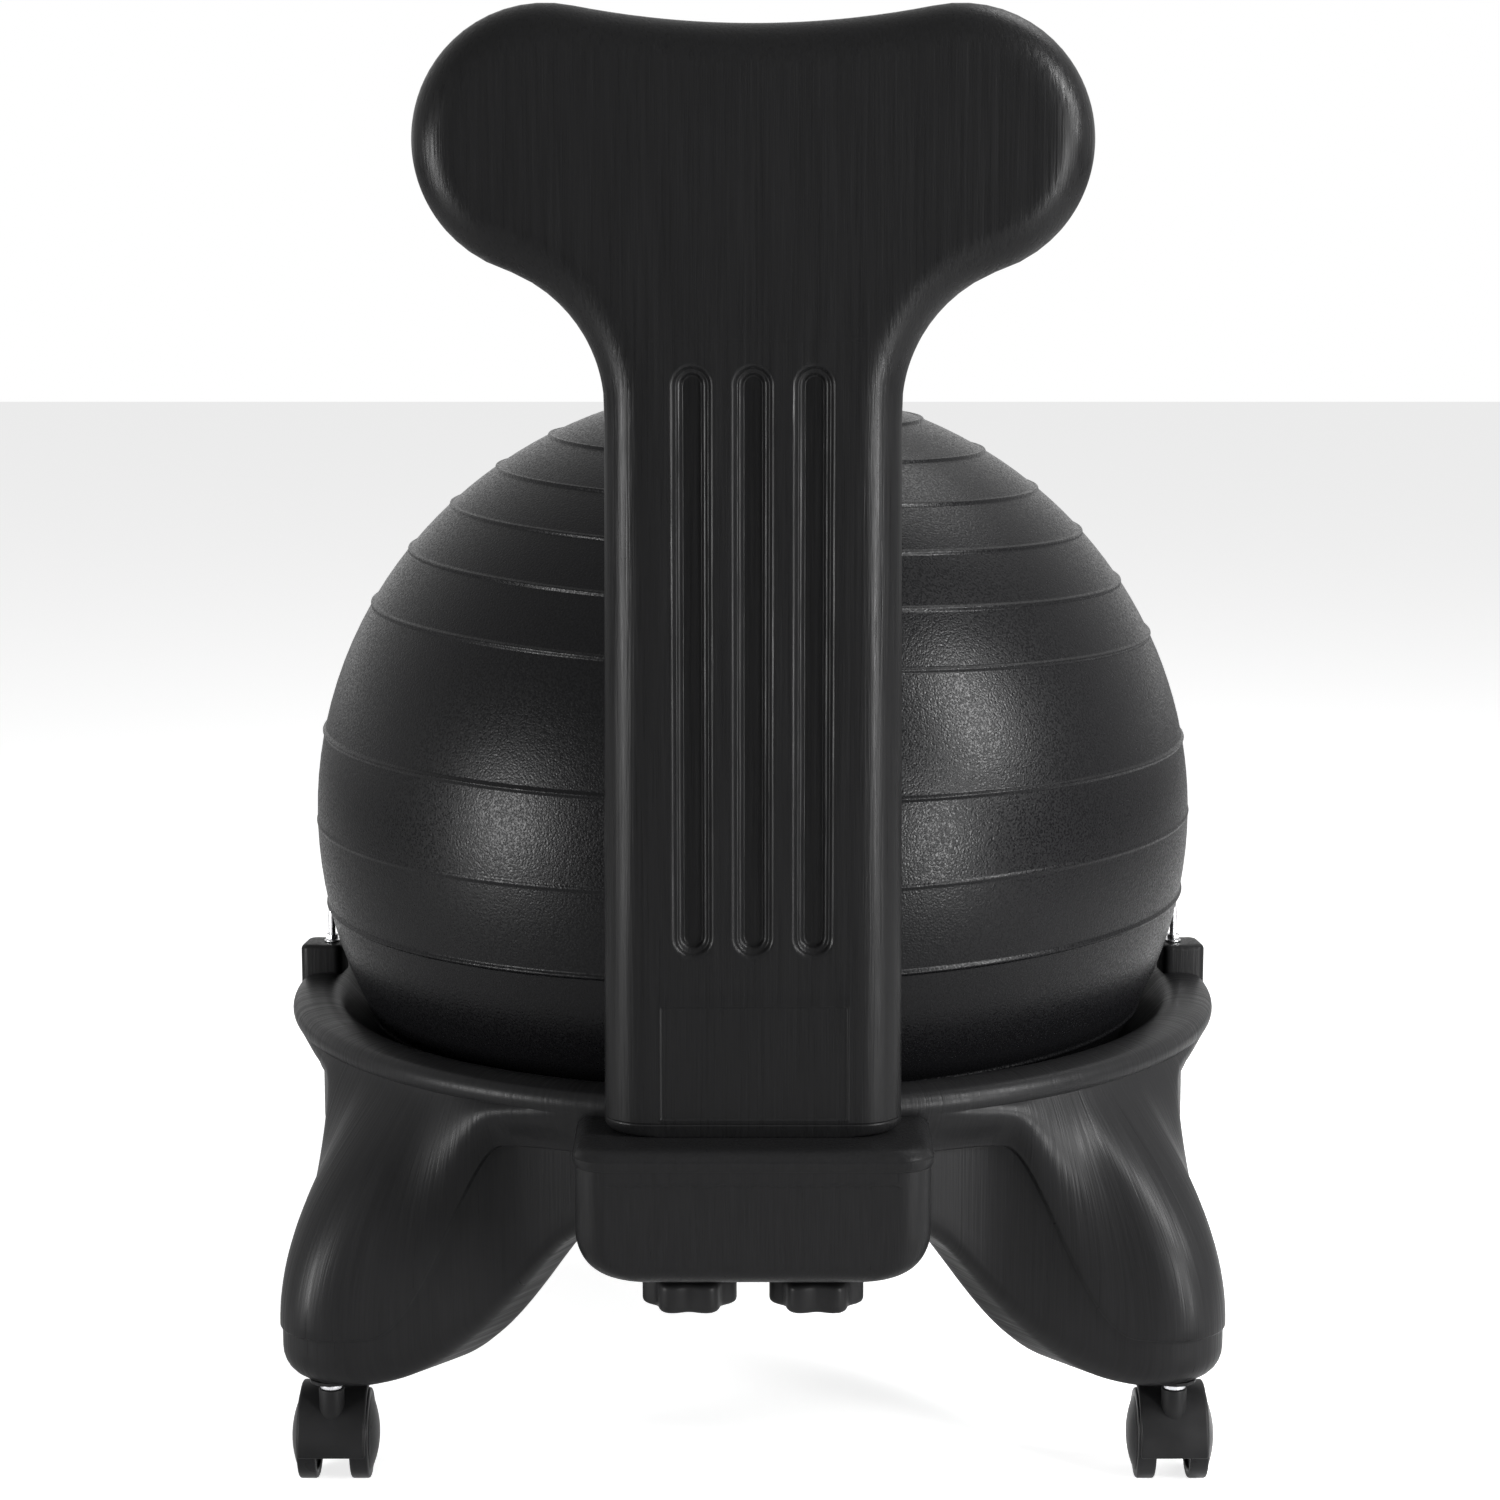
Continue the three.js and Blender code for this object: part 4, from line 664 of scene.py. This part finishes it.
def capped_strip(name, section, half_width, edge, place):
    """The carried section as a closed mesh, each end fanned from its middle."""
    rows, middle = across_caster(section, half_width, edge, place)
    return sheet_mesh(name, np.concatenate([middle[0], rows, middle[1]]), sharp=45)


def web_section(inward):
    """The web between the wheels: the hood's arc above and a smaller arc below the axle."""
    top = arc((0, 0), 28 - inward, 190, 62, 40)
    under = arc((0, 0), 14 - inward, 62, -170, 40)[1:-1]
    return np.concatenate([top, under])


def wheel_mesh(sign, place):
    """A wheel turned about its axle: a tread with rounded edges, and an outer face that is a
    shallow dome with a ring step."""
    inner, outer, dome = 9.3, 20.3, 4.4
    side = [(WHEEL_RADIUS - 6.0, outer - 0.5), (WHEEL_RADIUS, outer - 0.7), (WHEEL_RADIUS, inner),
            (WHEEL_RADIUS - 4, inner), (WHEEL_RADIUS - 5, inner + 3), (7, inner + 3), (6.4, inner),
            (2.9, inner)]
    share = np.linspace(0, 1, 12)
    face = np.stack([share * (WHEEL_RADIUS - 4.6), outer - 0.3 + (dome - 0.2) * (1 - share**2)], -1)
    profile = np.concatenate([face, rounded(side, 1.6, 5), [(2.9, 18.3), (0, 18.3)]])
    profile[:, 1] = place[0] + sign * profile[:, 1]
    return turned("wheel", profile, 72, (place[1] + CASTER_TRAIL, AXLE_Z), "x", sharp=38)


def lever_section(inward):
    """The brake lever from the side: a round hub and an arm that thins towards a round tip."""
    hub = HOOD_OUTER + 3.6 + 0.3
    centre = np.array([-hub * math.cos(math.radians(137)), hub * math.sin(math.radians(137))])
    turn = math.radians(14)
    outline = np.concatenate([arc((0, 0), 3.6 - inward, 70, 290, 22),
                              arc((19.4, 1.9), 1.6 - inward * 0.5, -90, 90, 10),
                              [(10.5, 3.6 - inward)]])
    turned_outline = outline @ np.array([[math.cos(turn), math.sin(turn)], [-math.sin(turn), math.cos(turn)]])
    return centre + turned_outline


# Finishes

def finish(name, colour, rough, specular=0.3, metallic=0.0):
    """A material with its shader, and a function that adds a node with its settings."""
    material = bpy.data.materials.new(name)
    material.use_nodes = True
    tree = material.node_tree
    shader = tree.nodes["Principled BSDF"]
    shader.inputs["Base Color"].default_value = (*colour, 1)
    shader.inputs["Roughness"].default_value = rough
    shader.inputs["Specular IOR Level"].default_value = specular
    shader.inputs["Metallic"].default_value = metallic

    def add(kind, inputs=(), **settings):
        node = tree.nodes.new(f"ShaderNode{kind}")
        for key, value in settings.items():
            setattr(node, key, value)
        for key, value in dict(inputs).items():
            if isinstance(value, bpy.types.NodeSocket):
                tree.links.new(value, node.inputs[key])
            else:
                node.inputs[key].default_value = value
        return node

    def link(socket, target):
        tree.links.new(socket, shader.inputs[target])

    return material, add, link


def noise(add, place, scale, detail=2.0, stretch=(1, 1, 1), rough=0.5):
    """Noise on the given coordinates, whose size along each one is divided by its stretch."""
    mapped = add("Mapping", {"Vector": place, "Scale": [1 / s for s in stretch]})
    return add("TexNoise", {"Vector": mapped.outputs["Vector"], "Scale": scale, "Detail": detail,
                            "Roughness": rough}).outputs["Fac"]


def ranged(add, value, low, high, new_low, new_high):
    """The value moved from one range to another, and kept inside it."""
    return add("MapRange", {"Value": value, "From Min": low, "From Max": high,
                            "To Min": new_low, "To Max": new_high}).outputs["Result"]


def toned(add, link, value, colour, spread):
    """The base colour, darker or lighter by a spread as the value runs from 0.35 to 0.65."""
    share = ranged(add, value, 0.35, 0.65, 0, 1)
    dark, light = ((*(c * k for c in colour), 1) for k in (1 - spread, 1 + spread))
    link(add("MixRGB", {"Fac": share, "Color1": dark, "Color2": light}).outputs["Color"], "Base Color")


def bumped(add, link, *layers):
    """A chain of bumps from (height, strength, distance) layers."""
    normal = None
    for height, strength, distance in layers:
        inputs = {"Height": height, "Strength": strength, "Distance": distance}
        if normal:
            inputs["Normal"] = normal
        normal = add("Bump", inputs).outputs["Normal"]
    link(normal, "Normal")


def blown_plastic(name, coordinates, stretch, rough=0.4, specular=0.07, grey=0.0085, banding=0.0004):
    """Blown plastic: long drag lines and bands in the bump and the gloss, soft sink, and a fine
    orange peel."""
    colour = (grey, grey, grey * 1.04)
    material, add, link = finish(name, colour, rough, specular)
    place = add("TexCoord").outputs["Object"]
    along = place if coordinates == "object" else add("UVMap", uv_map="along").outputs["UV"]
    lines = noise(add, along, 520, 3, stretch, 0.6)
    drag = noise(add, along, 900, 2, stretch, 0.7)
    bands = noise(add, along, 120, 2, stretch)
    peel = noise(add, place, 700, 1)
    sink = noise(add, place, 16, 1)
    toned(add, link, drag, colour, 0.12)
    link(ranged(add, lines, 0.3, 0.7, rough - 0.09, rough + 0.12), "Roughness")
    bumped(add, link, (sink, 0.5, 0.0012), (bands, 0.6, banding), (drag, 0.8, 0.00012),
           (lines, 0.8, 0.00022), (peel, 0.3, 0.00005))
    return material


def ball_vinyl():
    """Pebbled vinyl: a round grain in the bump, and speckles of gloss and tone of its size."""
    colour = (0.0042, 0.0042, 0.0047)
    material, add, link = finish("ball_vinyl", colour, 0.3, 0.085)
    place = add("TexCoord").outputs["Object"]
    grain = add("TexVoronoi", {"Vector": place, "Scale": 950}, feature="SMOOTH_F1").outputs["Distance"]
    speckle = noise(add, place, 820, 1)
    cloud = noise(add, place, 14, 3)
    toned(add, link, add("Math", {0: speckle, 1: cloud}, operation="MULTIPLY").outputs["Value"], colour, 0.3)
    link(ranged(add, speckle, 0.38, 0.62, 0.2, 0.44), "Roughness")
    bumped(add, link, (grain, 0.6, 0.00022), (speckle, 0.5, 0.0002))
    return material


def moulded_plastic(name, colour, rough, grain=1100):
    """Injected plastic with a fine spark-eroded grain and a few soft scuffs."""
    material, add, link = finish(name, colour, rough, 0.09)
    place = add("TexCoord").outputs["Object"]
    texture = noise(add, place, grain, 3)
    scuffs = noise(add, place, 60, 4)
    toned(add, link, scuffs, colour, 0.14)
    link(ranged(add, scuffs, 0.3, 0.7, rough - 0.06, rough + 0.08), "Roughness")
    bumped(add, link, (texture, 0.4, 0.00007), (scuffs, 0.15, 0.0001))
    return material


def polished_metal(name, colour, rough, stretch):
    """Plated metal with fine lines along the part and small changes of gloss."""
    material, add, link = finish(name, colour, rough, 0.5, 1.0)
    place = add("TexCoord").outputs["Object"]
    lines = noise(add, place, 900, 3, stretch)
    cloud = noise(add, place, 90, 2)
    toned(add, link, cloud, colour, 0.08)
    link(ranged(add, lines, 0.3, 0.7, rough - 0.05, rough + 0.1), "Roughness")
    bumped(add, link, (lines, 0.2, 0.00002))
    return material


base_plastic = blown_plastic("base_plastic", "along", (1, 60, 1), 0.36, 0.08, 0.0085, 0.0003)
back_plastic = blown_plastic("backrest_plastic", "object", (1, 1, 46), 0.32, 0.08, 0.005, 0.0001)
box_plastic = blown_plastic("socket_plastic", "object", (1, 1, 20), 0.36, 0.07, 0.007, 0.0001)
vinyl = ball_vinyl()
caster_plastic = moulded_plastic("caster_plastic", (0.008, 0.008, 0.0083), 0.44)
knob_plastic = moulded_plastic("knob_plastic", (0.009, 0.009, 0.0093), 0.4)
lever_plastic = moulded_plastic("lever_plastic", (0.015, 0.015, 0.0155), 0.38)
valve_plastic = moulded_plastic("valve_plastic", (0.018, 0.018, 0.019), 0.5)
wheel_nylon = moulded_plastic("wheel_nylon", (0.009, 0.009, 0.0095), 0.32, 700)
bright_steel = polished_metal("bright_steel", (0.62, 0.62, 0.63), 0.22, (1, 1, 12))
stem_steel = polished_metal("stem_steel", (0.56, 0.56, 0.58), 0.27, (1, 1, 8))
brass = polished_metal("brass", (0.72, 0.5, 0.2), 0.28, (1, 1, 6))


# The pieces take their places

piece("base_body", base_mesh(), "base", base_plastic, ["base_shell"])
piece("base_socket", together("base_socket", box_mesh()), "base", box_plastic)
piece("base_lugs", together("base_lugs", lug_mesh(-1), lug_mesh(1)), "base", box_plastic)
piece("backrest_pad", backrest_mesh(), "base", back_plastic, ["backrest_shell"])
piece("ball_skin", ball_mesh(), "ball", vinyl, ["ball_shell"])
piece("bar", bar_mesh(), "base", bright_steel, ["support_bar"])
for side, sign in SIDES.items():
    piece(f"knob_head_{side}", knob_mesh(sign * KNOB_X), f"knob_{side}", knob_plastic,
          [f"knob_{side}"])
    place = (sign * ROD_RING * math.cos(LUG_ANGLE), ROD_RING * math.sin(LUG_ANGLE))
    washer = turned("bar_washer", ring_profile(ROD_RADIUS + 0.3, 4.8, 252.7, 253.6, 0.3), 48, place, sharp=40)
    piece(f"bar_end_washer_{side}", washer, "base", bright_steel, [f"bar_washer_{side}"])
    piece(f"bar_end_nut_{side}", nut_mesh(sign, 253.9, 257.1), "base", bright_steel,
          [f"bar_nut_{side}"])
for corner, place in CORNERS.items():
    hood = hood_mesh(place)
    web = capped_strip("web", web_section, 8.6, 0.8, place)
    boss_profile = rounded([(0, 30), (5.4, 31.6), (6.9, 44), (7, 57.6), (4.3, 57.6), (4.3, 44),
                            (0, 44)], 0.8, 4)
    boss = turned("boss", boss_profile, 48, place, sharp=45)
    piece(f"caster_frame_{corner}", together("caster_frame", hood, web, boss), f"caster_{corner}",
          caster_plastic, [f"caster_body_{corner}"])
    for side, sign in SIDES.items():
        piece(f"caster_wheel_{side}_{corner}", wheel_mesh(sign, place), f"wheel_{side}_{corner}",
              wheel_nylon, [f"wheel_{side}_{corner}"])
    stem = np.array([(0, 39.6), (4, 39.6), (4, 57.9), (6.25, 57.9), (6.25, 60.5), (4, 60.5), (4, 86),
                     (3.4, 88), (4, 90), (4, 93.3), (3.3, 94), (0, 94)])
    piece(f"caster_pin_{corner}", turned("stem", rounded(stem, 0.3, 4), 40, place, sharp=40), "base",
          stem_steel, [f"caster_stem_{corner}"])
for side, sign in SIDES.items():
    corner = f"front_{side}"
    lever = capped_strip("lever", lever_section, 8.0, 0.9, CORNERS[corner])
    piece(f"brake_pad_{corner}", lever, f"brake_lever_{corner}", lever_plastic,
          [f"brake_lever_{corner}"])

carried = {
    "bright_steel": ("caster_axle", "brake_pin", "knob_stud", "knob_washer"),
    "brass": ("backrest_insert",), "valve": ("valve_plug",), "sleeve": ("caster_sleeve",),
}
finishes = {"bright_steel": bright_steel, "brass": brass, "valve": valve_plastic, "sleeve": caster_plastic}
for node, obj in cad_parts.items():
    for kind, starts in carried.items():
        if node.startswith(starts):
            for slot in obj.material_slots:
                slot.material = finishes[kind]


# Studio

def stage_material(name, colour, glow, glossy_glow):
    """Matt white whose own faint light is seen by the camera and, weaker, by glossy rays alone."""
    material = bpy.data.materials.new(name)
    material.use_nodes = True
    tree = material.node_tree
    shader = tree.nodes["Principled BSDF"]
    shader.inputs["Base Color"].default_value = (colour, colour, colour, 1)
    shader.inputs["Roughness"].default_value = 0.9
    shader.inputs["Specular IOR Level"].default_value = 0.0
    shader.inputs["Emission Color"].default_value = (1, 1, 1, 1)
    path = tree.nodes.new("ShaderNodeLightPath")
    glows = []
    for ray, strength in (("Is Camera Ray", glow), ("Is Glossy Ray", glossy_glow)):
        level = tree.nodes.new("ShaderNodeMath")
        level.operation = "MULTIPLY"
        level.inputs[1].default_value = strength
        tree.links.new(path.outputs[ray], level.inputs[0])
        glows.append(level.outputs["Value"])
    seen = tree.nodes.new("ShaderNodeMath")
    seen.operation = "ADD"
    tree.links.new(glows[0], seen.inputs[0])
    tree.links.new(glows[1], seen.inputs[1])
    tree.links.new(seen.outputs["Value"], shader.inputs["Emission Strength"])
    return material


def soft_lamp(name, power, size, place, aim, spread=180):
    """A rectangular area lamp in metres that faces a point."""
    data = bpy.data.lights.new(name, "AREA")
    data.shape = "RECTANGLE"
    data.size, data.size_y = size
    data.energy = power
    data.spread = math.radians(spread)
    lamp = bpy.data.objects.new(name, data)
    lamp.location = place
    lamp.rotation_euler = (Vector(aim) - Vector(place)).to_track_quat("-Z", "Y").to_euler()
    bpy.context.scene.collection.objects.link(lamp)


floor_data = bpy.data.meshes.new("floor")
floor_data.from_pydata([(-8, -8, 0), (8, -8, 0), (8, 8, 0), (-8, 8, 0)], [], [(0, 1, 2, 3)])
floor = bpy.data.objects.new("floor", floor_data)
floor_data.materials.append(stage_material("floor_white", 0.8, 0.8, 0.3))
bpy.context.scene.collection.objects.link(floor)

scene = bpy.context.scene
world = bpy.data.worlds.new("studio")
scene.world = world
world.use_nodes = True
sky = world.node_tree
path = sky.nodes.new("ShaderNodeLightPath")
seen = sky.nodes.new("ShaderNodeMath")
seen.operation = "MAXIMUM"
sky.links.new(path.outputs["Is Camera Ray"], seen.inputs[0])
sky.links.new(path.outputs["Is Glossy Ray"], seen.inputs[1])
clear = sky.nodes.new("ShaderNodeMath")
clear.operation = "MAXIMUM"
sky.links.new(seen.outputs["Value"], clear.inputs[0])
sky.links.new(path.outputs["Is Transmission Ray"], clear.inputs[1])
level = sky.nodes.new("ShaderNodeMapRange")
level.inputs["To Min"].default_value = 0.03
level.inputs["To Max"].default_value = 1.0
sky.links.new(clear.outputs["Value"], level.inputs["Value"])
background = sky.nodes["Background"]
background.inputs["Color"].default_value = (1, 1, 1, 1)
sky.links.new(level.outputs["Result"], background.inputs["Strength"])

soft_lamp("right", 68, (0.34, 1.0), (1.6, -0.85, 1.28), (0, 0, 0.42))
soft_lamp("left", 46, (0.6, 0.7), (-1.8, -0.95, 0.42), (0, 0, 0.35))
soft_lamp("back", 13, (1.0, 0.8), (0.9, 0.8, 2.2), (0, 0, 0.5))
soft_lamp("edge", 62, (0.3, 0.9), (1.62, -1.62, 0.35), (0.06, -0.28, 0.45))

camera_data = bpy.data.cameras.new("camera")
camera_data.sensor_width = 36
camera_data.lens = 87.3
camera = bpy.data.objects.new("camera", camera_data)
camera.location = (-0.0016, -2.1392 + CHAIR_Y * MM, 0.7394)
camera.rotation_euler = (math.pi / 2 - 0.1684, 0, 0)
scene.collection.objects.link(camera)
scene.camera = camera
scene.view_settings.view_transform = "Standard"
